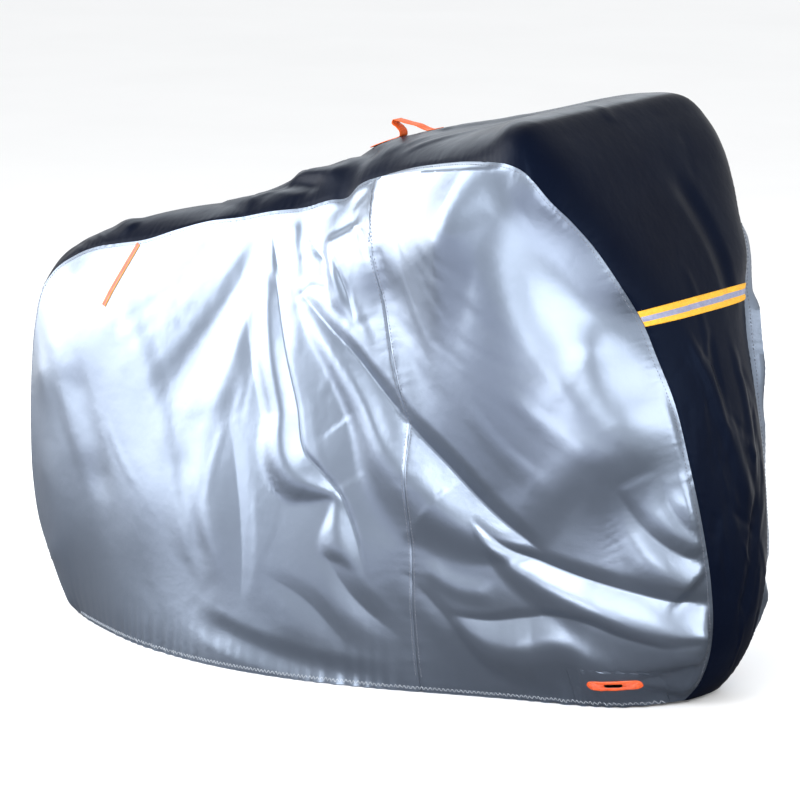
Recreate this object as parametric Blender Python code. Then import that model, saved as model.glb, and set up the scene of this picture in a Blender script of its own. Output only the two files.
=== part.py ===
"""Fitted bicycle cover, in the shape in which it hangs over a parked bicycle.

A dark centre band runs from the rear hem over the top to the front hem. Each side is silver
cloth in two panels, joined by an upright seam. Reflective tapes cross the front of the band and
lie on the rear panels, a webbing loop stands on top, and an oval lock eyelet is set in a patch
at the foot of each front panel. The cover is hollow and open below.

X points to the bicycle's front wheel, Y to its left side and Z up. The origin is on the ground,
under the middle of the cover.
"""
import math

import bpy
import numpy as np
from mathutils.geometry import delaunay_2d_cdt

# ------------------------------------------------------------------ driving sizes, in metres
CLOTH = 0.002          # thickness of the coated cloth
TAPE = 0.0012          # thickness of a reflective tape
GAP = 0.0003           # clearance between two pieces that touch
SEAM_PULL = 0.0003     # each cloth ends this far short of the seam line
SHIFT_X = 0.0438       # moves the tables' zero, under the loop, to the middle of the cover
LIFT = 0.0003          # sets the turned hem down on the ground
BAND_STEP = 0.040      # distance between the band's sections
SIDE_STEP = 0.048      # distance between the points of a side
HEM_STEP = 0.045       # distance between the points of the hem
SLOPE_STEP = 0.004     # distance over which a side's slope is measured
FADE = 0.022           # folds die out this close to the band
EDGE_ROW = 0.018       # a side's first row of points lies this far from the band

# The centre band, from the rear hem over the top to the front hem, one row for each section.
# middle: the band's middle line. seam: its sewn edges, half a band's width to each side.
# crown: how far the section stays level before it turns down to the seam (2 is a plain arch).
BAND = (
    # middle x, z      seam x, z       half    crown
    (-0.712, 0.010, -0.702, 0.010, 0.054, 2.0),
    (-0.732, 0.001, -0.723, 0.001, 0.058, 2.0),
    (-0.754, 0.003, -0.744, 0.003, 0.062, 2.0),
    (-0.776, 0.018, -0.765, 0.018, 0.063, 2.0),
    (-0.792, 0.045, -0.781, 0.045, 0.063, 2.0),
    (-0.822, 0.108, -0.811, 0.110, 0.062, 2.0),
    (-0.851, 0.180, -0.841, 0.182, 0.060, 2.0),
    (-0.867, 0.270, -0.858, 0.270, 0.058, 2.0),
    (-0.870, 0.380, -0.862, 0.380, 0.058, 2.0),
    (-0.866, 0.500, -0.858, 0.500, 0.058, 2.0),
    (-0.855, 0.600, -0.847, 0.598, 0.058, 2.0),
    (-0.841, 0.670, -0.830, 0.662, 0.057, 2.0),
    (-0.809, 0.726, -0.793, 0.709, 0.057, 2.0),
    (-0.758, 0.763, -0.742, 0.741, 0.059, 2.0),
    (-0.700, 0.790, -0.690, 0.762, 0.066, 2.0),
    (-0.628, 0.815, -0.628, 0.776, 0.076, 2.0),
    (-0.549, 0.838, -0.549, 0.792, 0.085, 2.0),
    (-0.470, 0.856, -0.470, 0.819, 0.090, 2.0),
    (-0.392, 0.870, -0.390, 0.843, 0.095, 2.0),
    (-0.315, 0.897, -0.310, 0.858, 0.100, 2.0),
    (-0.239, 0.928, -0.230, 0.877, 0.105, 2.0),
    (-0.163, 0.959, -0.151, 0.891, 0.111, 2.0),
    (-0.088, 0.990, -0.080, 0.913, 0.123, 2.2),
    (-0.050, 1.007, -0.038, 0.922, 0.130, 2.3),
    (-0.013, 1.021, -0.006, 0.949, 0.138, 2.4),
    (0.061, 1.042, 0.077, 0.980, 0.159, 2.8),
    (0.140, 1.055, 0.160, 1.004, 0.196, 2.9),
    (0.220, 1.069, 0.245, 1.022, 0.234, 3.4),
    (0.300, 1.087, 0.330, 1.037, 0.275, 4.6),
    (0.365, 1.105, 0.400, 1.045, 0.311, 6.6),
    (0.420, 1.119, 0.452, 1.046, 0.332, 11.0),
    (0.468, 1.116, 0.489, 1.037, 0.340, 14.0),
    (0.508, 1.084, 0.518, 1.016, 0.341, 12.0),
    (0.544, 1.043, 0.542, 0.985, 0.330, 11.0),
    (0.581, 0.980, 0.573, 0.945, 0.303, 8.0),
    (0.622, 0.908, 0.605, 0.893, 0.270, 6.0),
    (0.660, 0.833, 0.641, 0.823, 0.238, 4.4),
    (0.689, 0.757, 0.662, 0.751, 0.193, 3.2),
    (0.709, 0.680, 0.680, 0.684, 0.170, 2.8),
    (0.737, 0.580, 0.709, 0.592, 0.149, 2.5),
    (0.759, 0.470, 0.735, 0.479, 0.138, 2.3),
    (0.775, 0.357, 0.755, 0.364, 0.123, 2.0),
    (0.784, 0.235, 0.766, 0.238, 0.105, 2.0),
    (0.777, 0.160, 0.762, 0.162, 0.091, 2.0),
    (0.757, 0.092, 0.745, 0.093, 0.078, 2.0),
    (0.726, 0.036, 0.714, 0.036, 0.067, 2.0),
    (0.700, 0.009, 0.689, 0.008, 0.068, 2.0),
    (0.676, 0.005, 0.665, 0.003, 0.061, 2.0),
    (0.654, 0.012, 0.644, 0.010, 0.057, 2.0),
)
TURN = 2               # rows at each end of the band that are turned under at the hem
ACROSS = (0.0, 0.28, 0.54, 0.76, 0.91, 1.0)   # the section's points, as parts of half a width

# Where the hem of a side touches the ground, from the rear to the front.
HEM = (
    # x, z, distance from the middle plane
    (-0.690, 0.001, 0.100),
    (-0.600, 0.001, 0.158),
    (-0.487, 0.001, 0.220),
    (-0.377, 0.001, 0.262),
    (-0.238, 0.001, 0.296),
    (-0.108, 0.001, 0.306),
    (0.010, 0.001, 0.301),
    (0.130, 0.001, 0.281),
    (0.228, 0.001, 0.255),
    (0.326, 0.001, 0.229),
    (0.423, 0.001, 0.208),
    (0.490, 0.001, 0.195),
    (0.545, 0.001, 0.182),
    (0.625, 0.003, 0.142),
)
HEM_TURN = ((0.010, -0.001), (0.024, 0.007))   # each turned row: how far in, how far up

# How far a side stands out from the middle plane, between the band and the hem.
SIDE_LEVELS = (0.12, 0.30, 0.50, 0.70, 0.85, 0.95)
SIDE = (
    # x, then the distance out at each of SIDE_LEVELS
    (-0.800, (0.080, 0.100, 0.102, None, None, None)),
    (-0.720, (0.116, 0.136, 0.134, 0.098, None, None)),
    (-0.620, (0.162, 0.170, 0.162, 0.124, None, None)),
    (-0.450, (0.232, 0.225, 0.195, 0.147, None, None)),
    (-0.300, (0.272, 0.254, 0.216, 0.164, None, None)),
    (-0.150, (0.294, 0.272, 0.236, 0.188, 0.134, None)),
    (0.000, (0.300, 0.283, 0.254, 0.216, 0.172, None)),
    (0.150, (0.284, 0.283, 0.269, 0.245, 0.219, 0.199)),
    (0.300, (0.266, 0.282, 0.283, 0.276, 0.268, 0.266)),
    (0.420, (0.248, 0.274, 0.287, 0.297, 0.309, 0.323)),
    (0.520, (0.230, 0.260, 0.277, 0.290, 0.303, 0.322)),
    (0.600, (0.202, 0.235, 0.256, 0.267, 0.270, None)),
    (0.655, (0.168, 0.206, 0.238, 0.240, None, None)),
    (0.700, (0.138, 0.178, 0.210, None, None, None)),
    (0.740, (0.112, 0.141, None, None, None, None)),
)

# The upright seam between the rear and the front panel of a side, from the band to the hem.
PANEL_SEAM = (
    # x, z
    (0.063, 0.970),
    (0.083, 0.920),
    (0.103, 0.820),
    (0.153, 0.656),
    (0.196, 0.530),
    (0.210, 0.400),
    (0.213, 0.264),
    (0.212, 0.130),
    (0.215, 0.001),
)

# Folds of a side: ridges stand out, grooves (a height below zero) go in. Each runs on a bent
# line from its start by its middle to its end. lean moves the crest to one side.
RIGHT_FOLDS = (
    # start x, z     middle x, z     end x, z        width: start, end   height  lean
    (-0.215, 0.830, -0.140, 0.640, -0.062, 0.430, 0.034, 0.046, 0.015, -0.3),
    (-0.178, 0.800, -0.085, 0.560, -0.030, 0.420, 0.026, 0.030, -0.006, 0.0),
    (-0.110, 0.745, 0.130, 0.525, 0.450, 0.285, 0.036, 0.056, 0.016, -0.3),
    (0.130, 0.930, 0.300, 0.700, 0.580, 0.430, 0.060, 0.080, -0.012, 0.0),
    (0.362, 0.345, 0.500, 0.262, 0.745, 0.190, 0.024, 0.046, 0.015, -0.3),
    (0.607, 0.430, 0.635, 0.320, 0.752, 0.222, 0.030, 0.040, 0.010, 0.0),
    (0.485, 0.215, 0.605, 0.186, 0.720, 0.146, 0.024, 0.030, -0.009, 0.0),
    (0.314, 0.160, 0.400, 0.118, 0.530, 0.110, 0.034, 0.040, 0.010, 0.0),
    (-0.106, 0.850, -0.040, 0.800, 0.025, 0.725, 0.020, 0.028, 0.009, -0.2),
    (-0.050, 0.400, 0.020, 0.330, 0.104, 0.235, 0.034, 0.036, 0.010, -0.2),
    (-0.302, 0.470, -0.250, 0.285, -0.212, 0.130, 0.036, 0.032, 0.011, 0.0),
    (-0.245, 0.830, -0.315, 0.640, -0.456, 0.434, 0.028, 0.050, -0.010, 0.0),
    (-0.574, 0.674, -0.467, 0.530, -0.400, 0.360, 0.045, 0.045, 0.007, 0.0),
    (-0.760, 0.590, -0.690, 0.460, -0.600, 0.330, 0.040, 0.040, 0.007, 0.0),
)
LEFT_FOLDS = (
    # start x, z     middle x, z     end x, z        width: start, end   height  lean
    (0.580, 0.905, 0.645, 0.740, 0.715, 0.520, 0.045, 0.040, 0.019, 0.0),
    (0.640, 0.760, 0.676, 0.630, 0.730, 0.390, 0.032, 0.040, 0.014, 0.0),
    (-0.180, 0.840, -0.115, 0.600, -0.090, 0.340, 0.032, 0.050, 0.015, 0.2),
    (-0.050, 0.860, 0.080, 0.640, 0.270, 0.450, 0.030, 0.052, 0.014, -0.3),
    (0.160, 0.930, 0.280, 0.680, 0.520, 0.460, 0.060, 0.080, -0.012, 0.0),
    (0.300, 0.380, 0.470, 0.270, 0.735, 0.220, 0.026, 0.046, 0.014, -0.3),
    (0.590, 0.480, 0.650, 0.350, 0.748, 0.270, 0.030, 0.036, 0.009, 0.0),
    (0.260, 0.170, 0.380, 0.130, 0.520, 0.125, 0.034, 0.040, 0.010, 0.0),
    (-0.250, 0.820, -0.350, 0.600, -0.500, 0.420, 0.030, 0.052, 0.011, 0.2),
    (-0.340, 0.420, -0.280, 0.260, -0.250, 0.120, 0.036, 0.034, 0.010, 0.0),
    (-0.600, 0.660, -0.520, 0.470, -0.440, 0.300, 0.045, 0.045, 0.008, 0.0),
    (0.000, 0.420, 0.050, 0.300, 0.120, 0.180, 0.036, 0.040, 0.011, 0.0),
)

# Folds of the centre band, placed by the run along its middle line from the rear hem, and y.
BAND_FOLDS = (
    # start run, y   middle run, y   end run, y      width: start, end   height  lean
    (1.360, 0.010, 1.450, -0.040, 1.560, -0.095, 0.026, 0.034, 0.009, 0.0),
    (1.300, -0.010, 1.390, -0.050, 1.500, -0.088, 0.022, 0.028, -0.007, 0.0),
    (1.480, 0.020, 1.560, -0.030, 1.640, -0.100, 0.026, 0.032, -0.008, 0.0),
    (0.900, 0.030, 0.960, -0.020, 0.990, -0.065, 0.030, 0.034, 0.006, 0.0),
    (1.700, -0.020, 1.900, 0.060, 2.060, 0.250, 0.050, 0.060, 0.008, 0.0),
    (1.350, -0.020, 1.450, 0.040, 1.570, 0.090, 0.026, 0.034, 0.003, 0.0),
    (1.160, 0.020, 1.250, -0.030, 1.330, -0.080, 0.028, 0.030, 0.005, 0.0),
    (2.260, 0.060, 2.420, 0.100, 2.560, 0.090, 0.050, 0.036, -0.007, 0.0),
    (2.560, -0.100, 2.760, -0.020, 2.960, 0.030, 0.034, 0.040, 0.007, 0.0),
    (2.900, 0.060, 3.020, 0.020, 3.160, -0.020, 0.030, 0.030, -0.006, 0.0),
)

# Reflective tapes.
FRONT_TAPE_RUN = 2.514      # run along the band's middle line to the tape's upper edge
FRONT_TAPE_WIDTH = 0.034
REAR_TAPE = ((-0.564, 0.782), (-0.585, 0.728), (-0.612, 0.660))   # its line on a rear panel
REAR_TAPE_WIDTH = 0.012

# Lock eyelet and the patch that holds it, on a front panel.
PATCH_X = (0.520, 0.670)
PATCH_TOP = 0.092
EYELET = (0.598, 0.056)         # x and z of its middle
EYELET_TILT = math.radians(5.0)
EYELET_OUT = (0.044, 0.0115)    # half length and half height of the ring
SLOT = (0.014, 0.0045)          # half length and half height of the slot
RING_THICK = 0.0024
RING_POINTS = 22

# Top loop: webbing sewn down along the ridge, as x and height above the ridge.
LOOP_WIDTH = 0.028
LOOP_THICK = 0.0018
LOOP = (
    (-0.060, 0.0), (-0.030, 0.0), (0.000, 0.0), (0.008, 0.002), (0.008, 0.009),
    (0.000, 0.021), (-0.010, 0.033), (-0.008, 0.037), (0.000, 0.034),
    (0.018, 0.026), (0.042, 0.016), (0.062, 0.004), (0.072, 0.0), (0.092, 0.0),
)


# ------------------------------------------------------------------------- curves and surfaces
def unit(vectors):
    """The same vectors, each of length one."""
    vectors = np.asarray(vectors, float)
    return vectors / np.maximum(np.linalg.norm(vectors, axis=-1, keepdims=True), 1e-12)


def run_along(points):
    """The distance along a line of points, at each of them."""
    steps = np.linalg.norm(np.diff(np.asarray(points, float), axis=0), axis=1)
    return np.concatenate(([0.0], np.cumsum(steps)))


def smooth(rows, places, at):
    """Rows of numbers known at rising places, read from a smooth curve through them."""
    rows, places, at = (np.asarray(values, float) for values in (rows, places, at))
    slopes = np.gradient(rows, places, axis=0)
    left = np.clip(np.searchsorted(places, at, side="right") - 1, 0, len(places) - 2)
    width = (places[left + 1] - places[left])[:, None]
    t = (at - places[left])[:, None] / width
    start, end = rows[left], rows[left + 1]
    return ((1 + 2 * t) * (1 - t) ** 2 * start + t * (1 - t) ** 2 * width * slopes[left]
            + t * t * (3 - 2 * t) * end + t * t * (t - 1) * width * slopes[left + 1])


def spaced(start, end, step):
    """Evenly spaced places from start to end, no further apart than step."""
    return np.linspace(start, end, max(1, math.ceil(abs(end - start) / step)) + 1)


def plate(points, values):
    """The smoothest bent plate through values given at flat points, as a function."""
    points = np.asarray(points, float)

    def bend(x, z):
        square = (x[:, None] - points[:, 0]) ** 2 + (z[:, None] - points[:, 1]) ** 2
        return 0.5 * square * np.log(square + 1e-12)

    def flat(x, z):
        return np.stack((np.ones_like(x), x, z), axis=1)

    count = len(points)
    system = np.zeros((count + 3, count + 3))
    system[:count, :count] = bend(points[:, 0], points[:, 1])
    system[:count, count:] = flat(points[:, 0], points[:, 1])
    system[count:, :count] = system[:count, count:].T
    weights = np.linalg.solve(system, np.concatenate((values, np.zeros(3))))

    def height(x, z):
        x, z = np.atleast_1d(x).astype(float), np.atleast_1d(z).astype(float)
        return bend(x, z) @ weights[:count] + flat(x, z) @ weights[count:]

    return height


def folded(places, folds):
    """How far the folds push the cloth out at each flat place."""
    out = np.zeros(len(places))
    t = np.linspace(0.0, 1.0, 25)
    for x0, z0, x1, z1, x2, z2, wide0, wide1, height, lean in folds:
        start, middle, end = np.array((x0, z0)), np.array((x1, z1)), np.array((x2, z2))
        pull = 2 * middle - (start + end) / 2
        line = (np.outer((1 - t) ** 2, start) + np.outer(2 * t * (1 - t), pull)
                + np.outer(t * t, end))
        ahead = unit(np.gradient(line, axis=0))
        away = places[:, None, :] - line[None]
        nearest = np.argmin((away ** 2).sum(axis=2), axis=1)
        rows = np.arange(len(places))
        offset, ahead = away[rows, nearest], ahead[nearest]
        across = ahead[:, 0] * offset[:, 1] - ahead[:, 1] * offset[:, 0]
        past = np.abs((ahead * offset).sum(axis=1))
        wide = wide0 + (wide1 - wide0) * t[nearest]
        wide = wide * np.where(across > 0, 1 + lean, 1 - lean)
        far = np.minimum(np.hypot(across, past) / wide, 1.0)
        strength = np.minimum(1.0, 5 * np.minimum(t[nearest], 1 - t[nearest]) + 0.15)
        out += height * strength * (0.5 + 0.5 * np.cos(np.pi * far))
    return out


# ------------------------------------------------------------------------------ the centre band
def band_sections():
    """The band's sections at even steps, and their run along the middle line."""
    rows = np.array(BAND)
    body = rows[TURN:-TURN]
    run = run_along(body[:, :2])
    tape = np.array((FRONT_TAPE_RUN, FRONT_TAPE_RUN + FRONT_TAPE_WIDTH))
    at = np.concatenate((spaced(0.0, tape[0], BAND_STEP), spaced(tape[1], run[-1], BAND_STEP)))
    turned = -run_along(rows[TURN::-1, :2])[:0:-1], run[-1] + run_along(rows[-TURN - 1:, :2])[1:]
    sections = np.vstack((rows[:TURN], smooth(body, run, at), rows[-TURN:]))
    return sections, np.concatenate((turned[0], at, turned[1]))


def band_grid():
    """Points of the band's outer face, one row for each section, from right to left."""
    sections, run = band_sections()
    parts = np.array([-part for part in ACROSS[:0:-1]] + list(ACROSS))
    middle, seam = sections[:, None, 0:2], sections[:, None, 2:4]
    half, crown = sections[:, 4, None], sections[:, 5, None]
    bend = np.abs(parts)[None, :] ** crown
    profile = middle + (seam - middle) * bend[:, :, None]
    grid = np.stack((profile[:, :, 0], half * parts, profile[:, :, 1]), axis=2)
    along, across = np.gradient(grid, axis=0), np.gradient(grid, axis=1)
    places = np.stack((np.broadcast_to(run[:, None], bend.shape), grid[:, :, 1]), axis=2)
    rise = folded(places.reshape(-1, 2), BAND_FOLDS).reshape(bend.shape)
    rise *= 1 - np.abs(parts) ** 4
    grid += unit(np.cross(along, across)) * rise[:, :, None]
    return grid, run


def band_sheet(grid):
    """The band's outer face as points and triangles."""
    rows, columns = grid.shape[:2]
    index = np.arange(rows * columns).reshape(rows, columns)
    a, b = index[:-1, :-1].ravel(), index[:-1, 1:].ravel()
    c, d = index[1:, 1:].ravel(), index[1:, :-1].ravel()
    triangles = np.vstack((np.stack((a, c, b), axis=1), np.stack((a, d, c), axis=1)))
    return {"points": grid.reshape(-1, 3), "triangles": triangles}


# ------------------------------------------------------------------------------------ the sides
def hem_line(seam):
    """The hem of a side from the rear corner to the front one, and its marked points."""
    knots = np.vstack((seam[0], [(x, out, z) for x, z, out in HEM], seam[-1]))
    marks = (seam[0, 0], PANEL_SEAM[-1][0], *PATCH_X, seam[-1, 0])
    stretches = [spaced(a, b, HEM_STEP) for a, b in zip(marks, marks[1:])]
    x = np.concatenate([stretch[:-1] for stretch in stretches] + [[marks[-1]]])
    line = smooth(knots, knots[:, 0], x)
    line[0], line[-1] = seam[0], seam[-1]
    return line, [int(np.argmin(np.abs(x - mark))) for mark in marks]


def side_surface(seam, hem, folds):
    """Functions that lift flat places (x, z) onto a side, as points out of the middle plane."""
    known = [(x, z, out) for x, outs in SIDE for z, out in zip(SIDE_LEVELS, outs) if out]
    known = np.vstack((seam[:, (0, 2, 1)], hem[1:-1][:, (0, 2, 1)], known))
    out = plate(known[:, :2], known[:, 2])

    def lift(places):
        x, z = places[:, 0], places[:, 1]
        slope_x = (out(x + SLOPE_STEP, z) - out(x - SLOPE_STEP, z)) / (2 * SLOPE_STEP)
        slope_z = (out(x, z + SLOPE_STEP) - out(x, z - SLOPE_STEP)) / (2 * SLOPE_STEP)
        normal = unit(np.stack((-slope_x, np.ones_like(x), -slope_z), axis=1))
        near = np.linalg.norm(places[:, None] - seam[None][:, :, (0, 2)], axis=2).min(axis=1)
        rise = folded(places, folds) * np.clip(near / FADE, 0.0, 1.0) ** 1.5
        return np.stack((x, out(x, z), z), axis=1) + normal * rise[:, None]

    return lift


def inside(places, loop):
    """Which flat places lie inside a closed flat outline."""
    x, z = places[:, 0, None], places[:, 1, None]
    x0, z0 = loop[:, 0], loop[:, 1]
    x1, z1 = np.roll(x0, -1), np.roll(z0, -1)
    crosses = (z0 > z) != (z1 > z)
    with np.errstate(divide="ignore", invalid="ignore"):
        at = x0 + (z - z0) / (z1 - z0) * (x1 - x0)
    return (crosses & (x < at)).sum(axis=1) % 2 == 1


def clear_of(places, points, distance):
    """Which flat places keep a distance to all the points."""
    if not len(places) or not len(points):
        return np.ones(len(places), bool)
    return np.linalg.norm(places[:, None] - points[None], axis=2).min(axis=1) > distance


def lattice(loop, step):
    """Places of a lattice of even triangles, inside an outline."""
    low, high = loop.min(axis=0), loop.max(axis=0)
    rise = step * math.sqrt(3) / 2
    rows = []
    for number, z in enumerate(np.arange(low[1], high[1], rise)):
        start = low[0] + (step / 2 if number % 2 else 0.0)
        rows += [(x, z) for x in np.arange(start, high[0], step)]
    return np.array(rows)[inside(np.array(rows), loop)]


def fold_places(folds, step):
    """Places on the crest and along both feet of each fold."""
    places = []
    for x0, z0, x1, z1, x2, z2, wide0, wide1, _, lean in folds:
        length = math.dist((x0, z0), (x1, z1)) + math.dist((x1, z1), (x2, z2))
        t = np.linspace(0.0, 1.0, max(3, round(length / step)))[:, None]
        pull = 2 * np.array((x1, z1)) - (np.array((x0, z0)) + np.array((x2, z2))) / 2
        line = (1 - t) ** 2 * (x0, z0) + 2 * t * (1 - t) * pull + t * t * np.array((x2, z2))
        ahead = unit(np.gradient(line, axis=0))
        aside = np.stack((-ahead[:, 1], ahead[:, 0]), axis=1) * (wide0 + (wide1 - wide0) * t)
        places += [line, line + aside * (1 + lean), line - aside * (1 - lean)]
    return np.vstack(places) if places else np.zeros((0, 2))


def edge_row(seam):
    """Places in a row beside the band, one for each point of its seam."""
    flat = seam[:, (0, 2)]
    ahead = unit(np.gradient(flat, axis=0))
    return flat + np.stack((ahead[:, 1], -ahead[:, 0]), axis=1) * EDGE_ROW


def thinned(places, distance):
    """The places in order, without any that comes too near an earlier one."""
    kept = []
    for place in places:
        if all(math.dist(place, other) > distance for other in kept):
            kept.append(place)
    return np.array(kept).reshape(-1, 2)


def triangulated(loop, rings, places):
    """Triangles over an outline with rings and places inside it, facing out on a left side."""
    flat = np.vstack((loop, *rings, places))
    edges, first = [], len(loop)
    for ring in rings:
        numbers = range(first, first + len(ring))
        edges += list(zip(numbers, [*numbers[1:], numbers[0]]))
        first += len(ring)
    made = delaunay_2d_cdt([tuple(place) for place in flat], edges,
                           [tuple(range(len(loop)))], 1, 1e-7)
    source = [numbers[0] for numbers in made[3]]
    triangles = np.array([[source[corner] for corner in face] for face in made[2]])
    a, b, c = (flat[triangles[:, corner]] for corner in range(3))
    turned = (b[:, 0] - a[:, 0]) * (c[:, 1] - a[:, 1]) > (b[:, 1] - a[:, 1]) * (c[:, 0] - a[:, 0])
    triangles[turned] = triangles[turned][:, ::-1]
    return flat, triangles


def oval(half_length, half_height):
    """A round-ended slot's outline at the eyelet's place, as flat places."""
    turn = np.linspace(0.0, 2 * np.pi, RING_POINTS, endpoint=False)
    straight = half_length - half_height
    x = half_height * np.cos(turn) + straight * np.sign(np.cos(turn) + 1e-9)
    z = half_height * np.sin(turn)
    cos, sin = math.cos(EYELET_TILT), math.sin(EYELET_TILT)
    return np.stack((EYELET[0] + x * cos - z * sin, EYELET[1] + x * sin + z * cos), axis=1)


def turned_hem(sheet, first, last, rows):
    """Adds the turned-under rows of a hem to a sheet whose hem points run first to last."""
    above = list(range(first, last + 1))
    for row in rows:
        start = len(sheet["points"])
        below = list(range(start, start + len(row)))
        sheet["points"] = np.vstack((sheet["points"], row))
        strips = zip(above, above[1:], below, below[1:])
        added = [face for a, b, c, d in strips for face in ((a, b, c), (b, d, c))]
        sheet["triangles"] = np.vstack((sheet["triangles"], added))
        above = below
    return sheet


def side_sheets(grid, folds):
    """The outer faces of a left side: rear panel, front panel, and eyelet patch."""
    edge = grid[:, -1]
    seam = edge[TURN:-TURN]
    hem, marks = hem_line(seam)
    lift = side_surface(seam, hem, folds)
    hem[1:-1] = lift(hem[1:-1][:, (0, 2)])
    ahead = unit(np.gradient(hem[:, :2], axis=0))
    turned = []
    for number, (inward, upward) in enumerate(HEM_TURN):
        row = hem + np.stack((ahead[:, 1] * inward, -ahead[:, 0] * inward,
                              np.full(len(hem), upward)), axis=1)
        row[0], row[-1] = edge[TURN - 1 - number], edge[len(edge) - TURN + number]
        turned.append(row)

    top = int(np.argmin(np.abs(seam[:, 0] - PANEL_SEAM[0][0])))
    join = np.array([seam[top, (0, 2)], *PANEL_SEAM[1:-1], hem[marks[1], (0, 2)]])
    run = run_along(join)
    join = lift(smooth(join, run, spaced(0.0, run[-1], SIDE_STEP)[1:-1]))

    left, right = hem[marks[2]], hem[marks[3]]
    top_left, top_right = np.array((left[0], PATCH_TOP)), np.array((right[0], PATCH_TOP))

    def flat_line(start, end):
        return start + (end - start) * spaced(0.0, 1.0, SIDE_STEP / math.dist(start, end))[:, None]

    border = lift(np.vstack((flat_line(left[[0, 2]], top_left)[1:],
                             flat_line(top_left, top_right)[1:],
                             flat_line(top_right, right[[0, 2]])[1:-1])))

    slot, ring = oval(*SLOT), oval(*EYELET_OUT)
    tape = rear_tape_outline()
    loops = {
        "rear": (np.vstack((hem[:marks[1] + 1], join[::-1], seam[1:top + 1][::-1])),
                 [tape], [(0, marks[1])], [(0, marks[1])]),
        "front": (np.vstack((hem[marks[1]:marks[2] + 1], border, hem[marks[3]:],
                             seam[top:-1][::-1], join)),
                  [], [(0, marks[2] - marks[1])], [(marks[1], marks[2])]),
        "patch": (np.vstack((hem[marks[2]:marks[3] + 1], border[::-1])),
                  [slot, ring], [(0, marks[3] - marks[2])], [(marks[2], marks[3])]),
    }
    second = marks[2] - marks[1] + 1 + len(border)
    loops["front"][2].append((second, second + len(hem) - 1 - marks[3]))
    loops["front"][3].append((marks[3], len(hem) - 1))

    sheets = {}
    crests = np.vstack((edge_row(seam), fold_places(folds, SIDE_STEP)))
    for name, (loop, rings, hems, parts) in loops.items():
        outline = loop[:, (0, 2)]
        fixed = np.vstack((outline, *rings))
        chosen = crests[inside(crests, outline)]
        chosen = thinned(chosen[clear_of(chosen, fixed, 0.32 * SIDE_STEP)], 0.45 * SIDE_STEP)
        places = lattice(outline, SIDE_STEP)
        places = places[clear_of(places, np.vstack((fixed, chosen)), 0.62 * SIDE_STEP)]
        flat, triangles = triangulated(outline, rings, np.vstack((chosen, places)))
        points = lift(flat)
        points[:len(loop)] = loop
        sheet = {"points": points, "triangles": triangles, "flat": flat}
        for (first, last), (start, end) in zip(hems, parts):
            sheet = turned_hem(sheet, first, last, [row[start:end + 1] for row in turned])
        sheets[name] = sheet
    return sheets, slot, ring, tape


def rear_tape_outline():
    """The outline of a rear tape, as flat places."""
    run = run_along(REAR_TAPE)
    line = smooth(REAR_TAPE, run, np.linspace(0.0, run[-1], 6))
    ahead = unit(np.gradient(line, axis=0))
    aside = np.stack((-ahead[:, 1], ahead[:, 0]), axis=1) * REAR_TAPE_WIDTH / 2
    return np.vstack((line + aside, (line - aside)[::-1]))


# ------------------------------------------------------------------------------- closed solids
def face_normals(points, triangles):
    """Each triangle's normal, as long as twice its area."""
    a, b, c = (points[triangles[:, corner]] for corner in range(3))
    return np.cross(b - a, c - a)


def point_normals(sheet):
    """A normal at each point of a sheet, the mean of its triangles' normals."""
    total = np.zeros_like(sheet["points"])
    normals = face_normals(sheet["points"], sheet["triangles"])
    for corner in range(3):
        np.add.at(total, sheet["triangles"][:, corner], normals)
    return unit(total)


def border_edges(triangles):
    """The edges that only one triangle has, in that triangle's order."""
    edges = [(f[i], f[(i + 1) % 3]) for f in triangles.tolist() for i in range(3)]
    have = set(edges)
    return [(a, b) for a, b in edges if (b, a) not in have]


def share_seams(sheets):
    """Gives sheets that meet one normal where they meet, and draws each back from the seam."""
    pool = {}
    for name, sheet in sheets.items():
        sheet["normals"] = point_normals(sheet)
        for number, point in enumerate(sheet["points"]):
            pool.setdefault(tuple(np.round(point, 6)), []).append((name, number))
    for met in pool.values():
        if len(met) > 1:
            normal = unit(sum(sheets[name]["normals"][number] for name, number in met))
            for name, number in met:
                sheets[name]["normals"][number] = normal
                sheets[name].setdefault("shared", set()).add(number)
    for sheet in sheets.values():
        points, shared = sheet["points"], sheet.get("shared", set())
        pull = {}
        for a, b in border_edges(sheet["triangles"]):
            if a in shared and b in shared:
                along = unit(points[b] - points[a])
                for number in (a, b):
                    inward = unit(np.cross(sheet["normals"][number], along))
                    pull.setdefault(number, []).append(inward)
        moved = points.copy()
        for number, ways in pull.items():
            way = unit(sum(ways))
            moved[number] += way * SEAM_PULL / max(0.5, float(way @ ways[0]))
        sheet["points"] = moved


def slab(points, triangles, normals, low, high):
    """A closed solid between two offsets of a sheet, as points and faces."""
    used, flat = np.unique(triangles, return_inverse=True)
    triangles = flat.reshape(triangles.shape)
    points, normals = points[used], normals[used]
    count = len(points)
    faces = triangles.tolist() + (triangles[:, ::-1] + count).tolist()
    faces += [face for a, b in border_edges(triangles)
              for face in ((b, a, a + count), (b, a + count, b + count))]
    return np.vstack((points + normals * high, points + normals * low)), faces


def cloth(sheet):
    """The solid of a sheet of cloth, whose points lie on its outer face."""
    return slab(sheet["points"], sheet["triangles"], sheet["normals"], -CLOTH, 0.0)


def laid_on(sheet, chosen, thickness):
    """A solid that lies on the chosen triangles of a sheet."""
    triangles = sheet["triangles"][chosen]
    return slab(sheet["points"], triangles, sheet["normals"], GAP, GAP + thickness)


def centres(sheet):
    """The middle of each triangle of a side's sheet, as a flat place."""
    return sheet["points"][sheet["triangles"]].mean(axis=1)[:, (0, 2)]


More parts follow.
